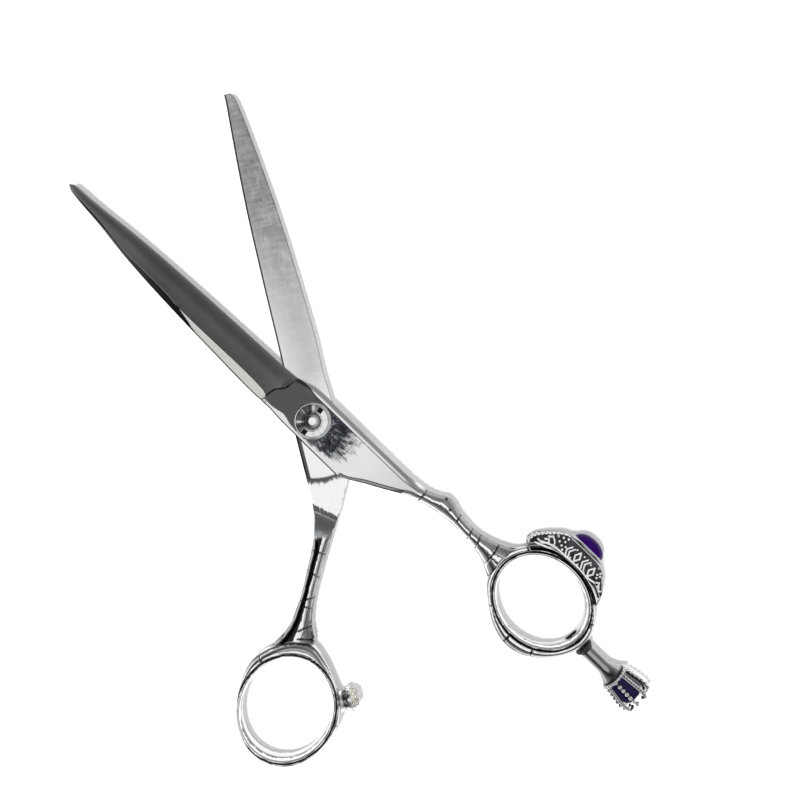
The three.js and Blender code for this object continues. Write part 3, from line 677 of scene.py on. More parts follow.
# ---- The two halves ----
# Blade outlines, shank sides and heights are (v, value) pairs from tip to handle; ring outlines
# are (u, v) points in turn.
FINGER_HALF = {
    "edge": through([(82, 0.5), (81.2, 0.95), (75, 1.3), (60, 2.6), (40, 3.6), (20, 4.3),
                     (11, 4.65), (8, 5.4), (5, 6.25), (2, 6.4), (-16, 6.35)]),
    "back": through([(82, -0.3), (81, -0.85), (70, -2), (60, -3.2), (50, -4), (30, -4.9),
                     (15, -5.3), (10, -5), (5, -5.3), (-16, -5.4)]),
    "ridge": through([(82, -0.2), (80, -0.85), (70, -1.7), (50, -2.8), (40, -2.85), (20, -2.5),
                      (14, -2.7), (11, -4), (7, -3.7), (2, -4.6), (-16, -4.7)]),
    "shank_left": through([(-9, -5.4), (-13, -5.4), (-19.5, -2), (-23.3, 0), (-27, 2), (-31.5, 3.6),
                           (-35, 4.6), (-41, 5.4), (-46.5, 5.2), (-51, 4.6), (-53, 4), (-55, 2.9),
                           (-57.5, 2)]),
    "shank_right": through([(-9, 6.35), (-25, 6.4), (-29, 6.9), (-31.5, 7.3), (-34, 8.3),
                            (-36.5, 9.6), (-38.5, 9.5), (-40.5, 8.9), (-43, 8.5), (-46, 8.3),
                            (-48.5, 8.6), (-52.5, 9.8), (-55, 11), (-57.5, 12.4)]),
    "shank_end": -57.5,
    "bore": (7.2, -69.5, 9.7, 11.5, 0),
    "ring": [(18.6, -69.5), (17.6, -62.5), (14.1, -58.2), (10.5, -56), (6.5, -55.6), (1.5, -57),
             (-2.4, -61.2), (-4.6, -64.3), (-6.1, -68), (-6.5, -71), (-5.6, -75.2), (-2.6, -79.5),
             (1.8, -82.9), (6.2, -84.5), (10.6, -83.7), (14.7, -80.2), (17.6, -75.4)],
    "heel": through([(-6, 12.4), (-2.5, 12.2), (-0.8, 11.8), (0.3, 10.8), (1.2, 10.2), (4.7, 9.9),
                     (7, 9.8)]),
    "flute": True,  # a hollow down the back of the blade
    "rim": 1.35,  # how far out from its bore a ring's engraved line lies
    "ride_seen": 0,  # 1 on the half that shows its ride side, with a slanted ramp and a weld line
    # Engraved bamboo joints: across the shank as (u, v, u, v) from end to end.
    "joints": [(4.0, -31.5, 7.4, -31.3), (6.5, -41.6, 9.0, -41.2), (5.0, -46.4, 8.6, -45.6),
               (5.0, -49.4, 8.8, -47.9), (4.4, -53.6, 10.2, -53.0)],
    # Joints round the ring, as points of its outline.
    "ring_joints": [(-2.4, -61.2), (-6.3, -69.6), (12.0, -83.2), (14.2, -58.3), (-4.6, -77)],
    "eyes": [(8.9, -36.1), (7.6, -38.5), (6.1, -52.3)],
}
THUMB_HALF = {
    "edge": through([(82, 1), (80, 1.05), (75, 1.45), (60, 2.5), (50, 3), (30, 3.55), (20, 3.75),
                     (11, 4.1), (8, 4.7), (3, 5.15), (-16, 5.3)]),
    "back": through([(82, -0.6), (81.3, -1.05), (80, -1.5), (70, -2.75), (60, -3.7), (50, -4.5),
                     (30, -5.4), (20, -5.65), (10, -5.4), (5, -5.6), (-16, -6)]),
    "ridge": through([(82, -0.45), (80, -1.2), (70, -2.1), (50, -3.1), (20, -3), (14, -3.2),
                      (11, -4.4), (5, -4.8), (-16, -5.2)]),
    "shank_left": through([(-9, -6), (-13, -5.8), (-15.5, -4.6), (-23, -0.5), (-25, 0.8),
                           (-28, 2.6), (-32, 5.1), (-37, 8), (-41, 10.2), (-45.5, 12.2),
                           (-48, 12.9), (-51, 13.1), (-53, 13.9)]),
    "shank_right": through([(-9, 5.3), (-16, 5.35), (-21, 5.6), (-25, 6.4), (-30, 8.4), (-34, 10.5),
                            (-40, 13.7), (-43, 15.7), (-45.5, 17.5), (-48, 20.3), (-50, 23.8),
                            (-52, 27), (-53, 28)]),
    "shank_end": -53,
    "bore": (23.65, -65.2, 10.7, 12.0, 35),
    "ring": [(10.6, -67), (11, -62.5), (11.9, -57), (14, -52.2), (18.5, -50), (24.5, -50.3),
             (29.3, -52.2), (33.4, -57.3), (35.7, -63), (36.2, -68), (34.9, -73), (31.4, -77.1),
             (26.5, -79.1), (20.8, -78.3), (15.8, -75.4), (12.4, -72.2)],
    "heel": through([(-6, 11.5), (6, 11)]),
    "flute": False,
    "rim": 1.2,
    "ride_seen": 1,
    "joints": [(5.0, -32.0, 8.4, -29.8), (8.1, -37.0, 10.6, -34.0), (10.1, -41.0, 14.6, -41.2),
               (11.4, -43.8, 13.2, -42.8), (12.7, -47.5, 16.2, -48.0), (12.8, -51.2, 16.8, -49.8),
               (17.4, -45.2, 18.2, -46.0), (19.7, -47.6, 20.6, -49.0)],
    "ring_joints": [(26.9, -51.1), (34, -58.2), (36.2, -67), (12, -59.8), (12.9, -72.3),
                    (30.3, -77.8)],
    "eyes": [],
}
THICKNESS = through([(82, 0.9), (75, 1.25), (60, 1.75), (40, 2.2), (11.2, 2.45), (10.8, 2.75),
                     (-16, 2.75)])
SHANK_TOP = through([(-9, PLATE_TOP), (-24, PLATE_TOP), (-31, 2.5), (-36.5, 2.7), (-46, 2.2),
                     (-57.5, 3)])
SHANK_UNDERSIDE = through([(-9, RIDE), (-22.9, RIDE), (-23.4, 0.0), (-27.6, -1.7), (-31, -2.3),
                           (-46, -2.2), (-57.5, -3)])
SHANK_ROUND = through([(-9, 0), (-25.5, 0), (-30, 1), (-57.5, 1)])  # from flat plate to round stem
# Lines across the ramp of the thumb half's shank, as v by u: its start, its crease and its foot.
RAMP_TOP = through([(0, -24.2), (1, -23.3), (5.3, -19.5), (7, -18.0)])
RAMP_RIDGE = through([(0, -25.9), (1, -25), (5.3, -21.5), (7, -20.1)])
RAMP_FOOT = through([(0, -25.2), (1.5, -26), (3.8, -27.9), (6, -27.3), (7, -26.8)])
RING_HALF_DEPTH = 3.5
RING_POWER = 2.5
STOPPER_V = -67.3
NUT_POCKET = 4.5  # radius of the hollow for the bearing washer in a blade's ride face
REST_HOLE, STOPPER_HOLE = 1.5, 1.05  # radii of the holes in the two rings


def flute_of(half, u, v):
    """1 inside the hollow that runs down the back of the finger blade, 0 outside."""
    if not half["flute"]:
        return np.zeros(np.shape(u))
    back, ridge = half["back"](v), half["ridge"](v)
    share = np.clip((u - back) / np.maximum(ridge - back, 0.05), -1, 2)
    start = 1 - 0.94 * smooth_step(45.0, 33.5, v)
    end = 11.4 + 1.5 * np.abs(share - 0.5) ** 3 / 0.125
    inside = smooth_step(start - 0.08, start + 0.08, share) * smooth_step(1.02, 0.9, share)
    return inside * smooth_step(end - 0.3, end + 0.3, v)


def blade_shell(half, ride_chamfer):
    """A blade from its tip to the weld arc. Columns run from back to edge, rows from tip to arc."""
    # Rows are close together at the tip, along the flute's start and at the heel.
    rows_v = np.concatenate([
        BLADE_REACH - np.array([0, 0.1, 0.25, 0.45]),
        np.arange(BLADE_REACH - 0.7, 75, -0.35),
        np.arange(75, 45, -0.5),
        np.arange(45, 33, -0.12),
        np.arange(33, 15, -0.5),
        np.arange(15, 9.2, -0.08),
        np.arange(9.2, 0.2, -0.4),
    ])
    # Columns by their share of the way from back (0) over the ridge (1) to the edge (2).
    share = np.concatenate([np.linspace(0, 0.08, 4)[:-1], np.linspace(0.08, 1, 24)[:-1],
                            1 + np.linspace(0, 0.87, 26)[:-1], 1 + np.linspace(0.87, 1, 12)])
    arc_rows = np.linspace(0, 1, 36)
    v = np.repeat(rows_v[:, None], len(share), axis=1)
    low_u = half["back"](-13), half["ridge"](-13), half["edge"](-13)
    u_arc = np.interp(share, [0, 1, 2], low_u)
    reach = np.sqrt((WELD_RADIUS - 0.02) ** 2 - u_arc**2)
    v = np.vstack([v, -np.outer(arc_rows, reach)])
    back, ridge, edge = half["back"](v), half["ridge"](v), half["edge"](v)
    first = share[None, :] <= 1
    u = np.where(first, back + (ridge - back) * share, ridge + (edge - ridge) * (share - 1))
    # The ground part, as shares of the thickness: it rises from the back to the ridge, lower where
    # the flute is, and falls in a crown to the edge.
    to_ridge, to_edge = np.clip(share[None, :], 0, 1), np.clip(share[None, :] - 1, 0, 1)
    plain = 0.45 + 0.55 * to_ridge
    shelf = 0.56 + 0.05 * to_ridge + 0.39 * smooth_step(0.88, 1.0, to_ridge)
    flute = smooth_step(0.1, 0.9, flute_of(half, u, v))
    crown = 0.15 + 0.85 * np.maximum(0, 1 - to_edge**2.6) ** 0.9
    ground = THICKNESS(v) * np.where(first, plain + (shelf - plain) * flute, crown)
    # The pivot plate, with its two chamfers, and the step and groove at the heel.
    chamfer_edge = np.interp(edge - u, [0, 0.85, 1.5], [0.62, 0.14, 0])
    inset = u - back
    chamfer_back = 0.12 * sum(np.clip((wide - inset) / wide, 0, 1) for wide in (1.1, 0.2))
    plate = PLATE_TOP - RIDE - chamfer_edge - chamfer_back
    step = smooth_step(-0.22, 0.22, half["heel"](u) - v)
    height = ground * (1 - step) + plate * step
    groove = 0.1 * bump(v, half["heel"](u) + 0.12, 0.2)
    top = np.stack([u, v, RIDE + np.maximum(height - groove, 0.05)], axis=2)
    # Ride side: a shallow hollow behind the hone line, and a chamfer on the plate's edge side.
    across = np.clip((u - back) / (edge - back), 0, 1)
    reach_in = smooth_step(0, 0.6, edge - u) * smooth_step(0, 0.8, u - back)
    dish = 0.06 * np.sin(np.pi * across) * reach_in * smooth_step(BLADE_REACH, 70, v)
    dish = dish * smooth_step(9, 13, v)
    bottom_height = RIDE + dish
    if ride_chamfer:
        width = 1.1 * smooth_step(9.5, -1, v)
        cut = np.clip((u - (edge - width)) / np.maximum(width, 1e-3), 0, 1)
        bottom_height = bottom_height + 0.2 * cut * smooth_step(9.5, 3, v)
    bottom = np.stack([u, v, bottom_height], axis=2)
    loops = np.concatenate([top, bottom[:, ::-1]], axis=1)
    return loft(loops, cap="strip")


def drilled(mesh, radius, low=-9, high=9):
    """mesh with a round hole about the pivot."""
    return combined(mesh, cylinder(radius, low, high), "DIFFERENCE")


def blade_mesh(half, bore, ride_chamfer=False):
    mesh = drilled(mesh_of(blade_shell(half, ride_chamfer)), bore)
    return drilled(mesh, NUT_POCKET, high=0.5)


def section_at(v, left, right, top, underside, roundness, count=(5, 5, 4, 18, 5, 5, 4, 34, 4)):
    """A shank's section: a chamfered plate that turns into a round stem as roundness goes to 1."""
    side_low = underside + 0.25
    corners = [
        (right, side_low), (right, top - 0.62), (right - 0.85, top - 0.14), (right - 1.5, top),
        (left + 0.6, top), (left, top - 0.1), (left, side_low), (left + 0.25, underside),
        (right - 0.25, underside),
    ]
    angles = np.radians([-25, 18, 34, 48, 135, 162, 205, 235, 305, 335])
    flat, turn = [], []
    for i, n in enumerate(count):
        t = np.linspace(0, 1, n, endpoint=False)[:, None]
        a, b = np.array(corners[i]), np.array(corners[(i + 1) % len(corners)])
        flat.append(a + (b - a) * t)
        turn.append(angles[i] + (angles[i + 1] - angles[i]) * t[:, 0])
    flat, turn = np.vstack(flat), np.concatenate(turn)
    across, up = superellipse(turn, (right - left) / 2, (top - underside) / 2, 2.05)
    stem = np.stack([(left + right) / 2 + across, (top + underside) / 2 + up], axis=1)
    both = flat * (1 - roundness) + stem * roundness
    return np.stack([both[:, 0], np.full(len(both), v), both[:, 1]], axis=1)


def joint_depths(half, u, v):
    """(groove, swell) of the engraved bamboo joints across the shank, from 0 to 1."""
    groove, swell = np.zeros_like(u), np.zeros_like(u)
    for u0, v0, u1, v1 in half["joints"]:
        length = math.hypot(u1 - u0, v1 - v0)
        du, dv = (u1 - u0) / length, (v1 - v0) / length
        along = (u - u0) * du + (v - v0) * dv
        off = -(u - u0) * dv + (v - v0) * du
        inside = smooth_step(-0.5, 0.0, along) * smooth_step(length + 0.5, length, along)
        groove = np.maximum(groove, bump(off, 0, 0.17) * inside)
        swell = np.maximum(swell, bump(off, 0, 0.75) * inside)
    return groove, swell


def shank_shell(half):
    end = half["shank_end"]
    stations = np.arange(-14, end, -0.2)
    loops = []
    for v in np.append(stations, end):
        values = (float(half[k](v)) for k in ("shank_left", "shank_right"))
        loop = section_at(v, *values, float(SHANK_TOP(v)), float(SHANK_UNDERSIDE(v)),
                          float(SHANK_ROUND(v)))
        arc = -np.sqrt(np.maximum(WELD_RADIUS**2 - loop[:, 0] ** 2, 1))
        slant = (RAMP_RIDGE(loop[:, 0]) - RAMP_RIDGE(3.2)) * half["ride_seen"]
        slant = slant * smooth_step(-31, -27, v)
        under, middle = float(SHANK_UNDERSIDE(v)), float(SHANK_TOP(v) + SHANK_UNDERSIDE(v)) / 2
        low = np.clip((middle - loop[:, 2]) / (middle - under), 0, 1)
        loop[:, 2] += low * (SHANK_UNDERSIDE(v - slant) - under)
        loop[:, 1] += (arc + WELD_RADIUS) * float(smooth_step(-20, -14, v))
        centre = loop.mean(axis=0)
        groove, swell = joint_depths(half, loop[:, 0], loop[:, 1])
        scale = 1 - 0.11 * groove + 0.03 * swell
        loop[:, [0, 2]] = centre[[0, 2]] + (loop[:, [0, 2]] - centre[[0, 2]]) * scale[:, None]
        loops.append(loop)
    return loft(loops, cap="strip")


def ring_reach(half):
    """Distances of a ring's bore and outline from the bore's centre, as functions of angle."""
    u, v, radius_u, radius_v, tilt = half["bore"]
    outline = closed_curve(half["ring"]) - (u, v)
    angle = np.arctan2(outline[:, 1], outline[:, 0])
    order = np.argsort(angle)
    angle, reach = angle[order], np.hypot(*outline.T)[order]
    angle = np.concatenate([angle - 2 * np.pi, angle, angle + 2 * np.pi])
    reach = np.tile(reach, 3)

    def outer(a):
        return np.interp(a, angle, reach)

    def inner(a):
        turned_angle = a - math.radians(tilt)
        return 1 / np.hypot(np.cos(turned_angle) / radius_u, np.sin(turned_angle) / radius_v)

    return inner, outer


for half in (FINGER_HALF, THUMB_HALF):
    half["inner"], half["outer"] = ring_reach(half)

Polar = namedtuple("Polar", "angle radius out wall")


def polar(half, u, v):
    """Points about a ring's bore, with their distance out from it and the wall's width there."""
    u, v = u - half["bore"][0], v - half["bore"][1]
    angle, radius = np.arctan2(v, u), np.hypot(u, v)
    near = half["inner"](angle)
    return Polar(angle, radius, radius - near, half["outer"](angle) - near)


def ring_groove(half, u, v, w):
    """How deep in the engraved lines of a ring each point lies, from 0 to 1."""
    ring = polar(half, u, v)
    line = bump(ring.out, half["rim"], 0.22) * (np.abs(w) > 1.0)
    joints = np.zeros(len(u))
    for joint in half["ring_joints"]:
        off = np.angle(np.exp(1j * (ring.angle - polar(half, *joint).angle))) * ring.radius
        outside = smooth_step(half["rim"], half["rim"] + 0.3, ring.out)
        joints = np.maximum(joints, bump(off, 0, 0.2) * outside)
    return np.maximum(line, joints)


def ring_shell(half, steps=420, sides=72):
    centre = half["bore"][:2]
    turn = np.linspace(0, 2 * np.pi, sides, endpoint=False)
    loops = []
    for a in np.linspace(-np.pi, np.pi, steps, endpoint=False):
        near, far = float(half["inner"](a)), float(half["outer"](a))
        across, up = superellipse(turn, (far - near) / 2, RING_HALF_DEPTH, RING_POWER)
        radius = (near + far) / 2 + across
        direction = np.array([math.cos(a), math.sin(a)])
        loops.append(np.column_stack([centre + radius[:, None] * direction, up]))
    shell = loft(loops, ring=True)
    p = shell.points.copy()
    depth = ring_groove(half, *p.T)
    p[:, 2] -= np.sign(p[:, 2]) * 0.42 * depth * smooth_step(1.0, 2.2, np.abs(p[:, 2]))
    ring = polar(half, *p.T[:2])
    pull = 0.16 * depth * smooth_step(half["rim"], half["rim"] + 0.4, ring.out)
    p[:, :2] -= (p[:, :2] - centre) * (pull / ring.radius)[:, None]
    return Shell(p, shell.faces)


def handle_mesh(half):
    return combined(mesh_of(ring_shell(half)), shank_shell(half), "UNION")


def handle_soot(half):
    """Soot in the joints, the rings' lines and the eyes, and along the weld where it is seen."""

    def soot_and_shade(u, v, w):
        groove, _ = joint_depths(half, u, v)
        marks = groove * (v > half["shank_end"])
        marks = np.maximum(marks, ring_groove(half, u, v, w) * (polar(half, u, v).out < 6))
        for eye_u, eye_v in half["eyes"]:
            near = np.hypot(u - eye_u, v - eye_v)
            marks = np.maximum(marks, smooth_step(0.42, 0.25, near) * (w > 0))
        weld = np.abs(np.hypot(u, v) - WELD_RADIUS) < 0.1
        return np.maximum(smooth_step(0.2, 0.75, marks), 0.6 * half["ride_seen"] * weld)

    return soot_and_shade


def gap_masks(half, width, on_top):
    """Distances in mm from a blade's two sides and from its chamfer, for the face that is seen."""

    def gap(distance):
        def masked(u, v, w):
            seen = w > 0.5 if on_top else w < 0.6
            return np.where(seen, distance(u, v), 5)

        return masked

    return {
        "edge_gap": gap(lambda u, v: half["edge"](v) - u),
        "back_gap": gap(lambda u, v: u - half["back"](v)),
        "chamfer_gap": gap(lambda u, v: half["edge"](v) - u - width(v)),
    }


def finger_blade():
    half = FINGER_HALF
    patch_end = through([(-4.5, -2.5), (-3.6, -7.0), (-2, -9.0), (0, -9.4), (2, -9.2), (4, -8.8),
                         (6.5, -8.4)])
    patch_side = through([(12, -4.1), (10, -4.2), (6, -3.6), (2, -4.5), (-12, -4.7)])
    lighter = through([(82, 0.6), (75, 0.3), (60, 0.15), (50, 0.0), (20, 0.0), (14, 0.06),
                       (11, 0.09)])
    bevel_width = through([(82, 0.1), (78, 0.45), (70, 0.8), (61, 0.8), (55, 1.2), (50, 1.55),
                           (46, 1.65), (43, 1.4), (40, 0.9), (36, 0.5), (20, 0.2), (10, 0),
                           (-16, 0)])

    def flute(u, v, w):
        return flute_of(half, u, v) * (w > 0.6)

    def polish(u, v, w):
        plate = smooth_step(0.3, -0.3, v - half["heel"](u)) * (w > 1.2)
        return np.maximum(smooth_step(0.3, 0.6, flute(u, v, w)), plate)

    # Painted sheen, strongest near the tip and towards the edge.
    def glow(u, v, w):
        edge, ridge = half["edge"](v), half["ridge"](v)
        t = np.clip((u - ridge) / np.maximum(edge - ridge, 0.1), 0, 1)
        return np.clip(lighter(v) + 0.7 * t**2.2 * (u >= ridge), 0, 1)

    def painted_reflection(u, v, w):
        """The painted dark reflection that covers the plate from the heel to below the nut."""
        end, side = patch_end(u), patch_side(v)
        down = 1.9 * smooth_step(end - 4.6, end + 4.6, v)
        inward = smooth_step(side - 0.1, side + 0.1, u)
        return down * inward * (v < half["heel"](u) + 0.3) * (w > 2)

    def painted_reflection_core(u, v, w):
        """The deepest of the painted dark reflection, in streaks out from the nut."""
        radius = np.hypot(u, v)
        turn = np.degrees(np.arctan2(v, u))
        fan = np.maximum(bump(turn, -86, 34), 0.75 * bump(turn, -42, 44))
        return 1.1 * np.sqrt(fan) * smooth_step(3.6, 4.4, radius) * smooth_step(13.5, 8.0, radius)

    def heel_line(u, v, w):
        line = bump(v, half["heel"](u) + 0.12, 0.2) * smooth_step(-1.6, 1.0, u)
        return 0.85 * line * (w > 0.9) * (v > 6) * smooth_step(3.2, 1.4, u)

    def bevel_gap(u, v, w):
        return np.where(w > 0.4, u - half["back"](v) - bevel_width(v), 5)

    # Painted dark outlines along the back and the chamfer, and a painted dark reflection on the
    # back bevel.
    masks = {"polish": polish, "glow": glow, "painted_reflection": painted_reflection, "painted_reflection_core": painted_reflection_core, "soot_and_shade": heel_line,
             "flute": flute, "bevel_gap": bevel_gap,
             "back_line": lambda u, v, w: smooth_step(70, 45, v),
             "inner_line": lambda u, v, w: smooth_step(8, 5, v),
             **gap_masks(half, lambda v: 1.5 * smooth_step(9, 3, v), True)}
    add_piece("finger_blade", "finger_half", FINGER_STEEL, finger_place,
              blade_mesh(half, SHAFT_RADIUS + 0.7), masks, 24)


def thumb_blade():
    half = THUMB_HALF

    def chamfer_width(v):
        return 1.1 * smooth_step(9.5, -1, v)

    # Painted sheen: lighter towards the pivot and at the tip, weaker along a band near the back, a
    # touch lighter at the edge.
    def glow(u, v, w):
        back, edge = half["back"](v), half["edge"](v)
        across = (u - back) / (edge - back)
        along = 0.95 * smooth_step(60, 12, v) + 0.2 * smooth_step(72, 82, v)
        level = along * (1 - 0.4 * bump(across, 0.33, 0.45)) + 0.12 * smooth_step(0.8, 1, across)
        return np.clip(level, 0, 1)

    def weld_line(u, v, w):
        inward = WELD_RADIUS - np.hypot(u, v)
        return 0.6 * smooth_step(0.12, 0.02, inward) * (v < 0)

    mesh = blade_mesh(half, SHAFT_RADIUS + 0.1, True)
    key_hole = box_shell((-2.4, -2.4, 1.8), (2.4, 2.4, 9))
    # Painted shade on the plate's chamfer, and painted dark outlines along both sides.
    masks = {"polish": lambda u, v, w: smooth_step(13, 2, v) * 0.9, "glow": glow,
             "soot_and_shade": weld_line, "shade": lambda u, v, w: 1.0 * (v < 9), "edge_line": 1,
             "back_line": lambda u, v, w: smooth_step(-6, 2, v) * 0.45, "bevel_gap": FAR,
             **gap_masks(half, chamfer_width, False)}
    add_piece("thumb_blade", "thumb_half", THUMB_STEEL, thumb_place,
              combined(mesh, key_hole, "DIFFERENCE"), masks, 24)


def laid_along(axis, shell, u, v):
    """A shell drawn about +Z, laid along the u or the v axis, with its z counted from (u, v)."""
    x, y, z = shell.points.T
    columns = (u + z, v + y, x) if axis == "u" else (u + x, v + z, y)
    return Shell(np.stack(columns, axis=1), shell.faces)


def thumb_shade(u, v, w):
    """Painted shade: dark streaks past the weld line and across the ramp, on the side that faces
    the ride.
    """
    near = np.hypot(u, v) - WELD_RADIUS
    weld = smooth_step(2.3, 0.1, near) * (v < -8)
    ramp = smooth_step(0.7, -0.5, v - RAMP_TOP(u))
    ramp = ramp * (v > RAMP_RIDGE(u) + 0.12)
    return np.maximum(weld, ramp) * (w < 0.6) * (v > -27)


def thumb_grey_shade(u, v, w):
    """Painted grey shade on the facet between the ramp's crease and its foot, and on the ring's
    side by its bumper.
    """
    ring = polar(THUMB_HALF, u, v)
    share = ring.out / ring.wall
    side = smooth_step(0.5, 0.6, share) * smooth_step(0.88, 0.84, share)
    side = side * (u < THUMB_HALF["bore"][0] - 2)
    side = side * smooth_step(-66.6, -65.6, v) * (v < -51)
    below = smooth_step(0.12, -0.12, v - RAMP_RIDGE(u))
    above = smooth_step(-0.2, 0.2, v - RAMP_FOOT(u))
    return np.maximum(below * above * (w < 0.6), 0.85 * side)


def shank_gap(half, side, end):
    """Distance in mm from one side of a shank, for its outer face, down to the plate's end."""

    def gap(u, v, w):
        inward = half["shank_right"](v) - u if side == "right" else u - half["shank_left"](v)
        return np.where((v < -13.2) * (v > end) * (w > 2), inward, FAR)

    return gap


def bore_wall(half, u, v, w):
    """1 on the inside wall of the ring."""
    return smooth_step(0.3, 0.2, polar(half, u, v).out) * smooth_step(3.1, 2.7, np.abs(w))


def stem_masks(half, from_v):
    """Shares across the round shank and round the ring, and where each of them holds, for the
    painted reflection stripes.
    """

    def stem(u, v, w):
        left, right = half["shank_left"](v), half["shank_right"](v)
        return (u - left) / (right - left)

    def stem_here(u, v, w):
        ring = polar(half, u, v)
        top, under = SHANK_TOP(v), SHANK_UNDERSIDE(v)
        lift = smooth_step(0.02, 0.12, np.abs(2 * w - top - under) / (top - under))
        return smooth_step(from_v, from_v - 2, v) * lift * (ring.out > ring.wall - 0.02)

    def hoop(u, v, w):
        ring, rim = polar(half, u, v), half["rim"]
        beyond = 0.3 + 0.7 * (ring.out - rim) / np.maximum(ring.wall - rim, 0.2)
        return np.clip(np.where(ring.out < rim, 0.3 * ring.out / rim, beyond), 0, 1)

    def hoop_here(u, v, w):
        ring = polar(half, u, v)
        return smooth_step(0.9, 1.8, np.abs(w)) * (ring.out <= ring.wall - 0.02)

    return {"stem": stem, "stem_here": stem_here, "hoop": hoop, "hoop_here": hoop_here}


def finger_handle():
    half = FINGER_HALF
    hole = laid_along("v", cylinder(REST_HOLE, -8, 8, 48), REST_X, -82)
    engraved = handle_soot(half)

    def soot_and_shade(u, v, w):
        """Soot in the engraving, and painted shade round the hole of the finger rest."""
        near = np.hypot(u - REST_X, w - REST_Z + PARTING)
        inside = smooth_step(2.0, 1.7, near) * (v < -78) * bore_wall(half, u, v, w)
        return np.maximum(engraved(u, v, w), inside)

    # Painted shade: the plate darker towards the stem, and the ring's inside wall darker.
    def dim(u, v, w):
        plate = (0.4 + 0.5 * smooth_step(-14, -30, v)) * (v > -31)
        return np.maximum(plate, bore_wall(half, u, v, w))

    # Painted grey shade on the ring's inside wall.
    masks = {"soot_and_shade": soot_and_shade, "dim": dim, "grey_shade": lambda u, v, w: 0.5 * bore_wall(half, u, v, w),
             "right_gap": shank_gap(half, "right", -30.5),
             "left_gap": shank_gap(half, "left", -27.5), **stem_masks(half, -29.5)}
    add_piece("finger_handle", "finger_half", FINGER_POLISH, finger_place,
              combined(handle_mesh(half), hole, "DIFFERENCE"), masks, 32)


def thumb_handle():
    half = THUMB_HALF
    hole = laid_along("u", cylinder(STOPPER_HOLE, -4, 4, 40), 12.7, STOPPER_V)
    # Painted shade: grey facets, dark streaks by the weld and on the ramp, and a darker inside wall
    # of the ring.
    masks = {"soot_and_shade": handle_soot(half), "grey_shade": thumb_grey_shade, "shade": thumb_shade,
             "dim": lambda u, v, w: bore_wall(half, u, v, w), **stem_masks(half, -26)}
    add_piece("thumb_handle", "thumb_half", THUMB_POLISH, thumb_place,
              combined(handle_mesh(half), hole, "DIFFERENCE"), masks, 32)


# ---- Crest and gem ----
GEM_Y, GEM_LENGTH, GEM_WIDTH = -69.2, 4.35, 3.7
CREST_OUTLINE = [(15.1, -57.5), (15.9, -57.1), (17.2, -57.35), (18.9, -58.5), (20.6, -60.1),
                 (22.0, -61.7), (22.9, -63.5), (23.15, -65.5), (23.2, -69), (23.15, -71.8),
                 (22.8, -73.6), (21.9, -75.3), (20.3, -77.1), (18.2, -78.6), (16.4, -79.3),
                 (15.3, -79.5)]
# Raised lines of the crest, as (x, y) paths: ridges beside the ring, keys at the ends, lozenges and
# chevrons between them; and its beads.
CREST_RIDGES = [
    [(17.5, -59.2), (18.7, -62.2), (18.95, -65.2), (19.05, -69.2), (18.8, -72.4), (19.2, -75.2)],
    [(16.3, -58.3), (17.5, -61.4), (18.3, -64.4), (18.75, -69.2), (18.3, -73.8), (17.3, -77.0),
     (16.0, -79.0)],
]
CREST_KEYS = [
    [(17.3, -58.2), (17.3, -59.5), (18.5, -60.7), (19.1, -60.1), (18.5, -59.4)],
    [(19.5, -59.7), (20.3, -60.5), (19.6, -61.6), (19.0, -61.9)],
    [(21.2, -75.7), (20.1, -76.9), (18.9, -77.9), (18.3, -77.3), (19.4, -76.3), (20.0, -76.0)],
    [(17.6, -78.5), (16.9, -78.8), (17.0, -77.9)],
]
CREST_BEADS = [(21.2, -61.3), (21.75, -62.5), (20.5, -62.3), (21.3, -63.4), (20.1, -63.3),
               (20.5, -64.3), (19.5, -64.1), (22.3, -63.6), (20.3, -74.7), (21.0, -74.3),
               (21.7, -74.7), (21.1, -75.1), (19.6, -75.6), (18.9, -76.3), (22.4, -73.6)]
CREST_HALF_DEPTH = 4.2
CREST_GAP = 0.12  # between the crest and the ring's outline


def crest_grid(along, across):
    """Grid of (u, v) points over the crest: along from end to end, across from ring to outside.

    With it come the distances of each point from the crest's inner and outer side.
    """
    u, v = FINGER_HALF["bore"][:2]
    ring = polar(FINGER_HALF, *open_curve(CREST_OUTLINE, along).T)
    near = ring.radius - ring.out + ring.wall + CREST_GAP
    far = np.maximum(ring.radius, near + 0.05)
    width = (far - near)[:, None]
    inner_gap = width * np.linspace(0, 1, across)[None, :]
    radius = near[:, None] + inner_gap
    angle = ring.angle[:, None]
    return u + radius * np.cos(angle), v + radius * np.sin(angle), inner_gap, width - inner_gap


def distance_to_path(x, y, path):
    best = np.full(x.shape, 99.0)
    for (ax, ay), (bx, by) in zip(path[:-1], path[1:]):
        dx, dy = bx - ax, by - ay
        t = np.clip(((x - ax) * dx + (y - ay) * dy) / (dx * dx + dy * dy), 0, 1)
        best = np.minimum(best, np.hypot(x - ax - t * dx, y - ay - t * dy))
    return best


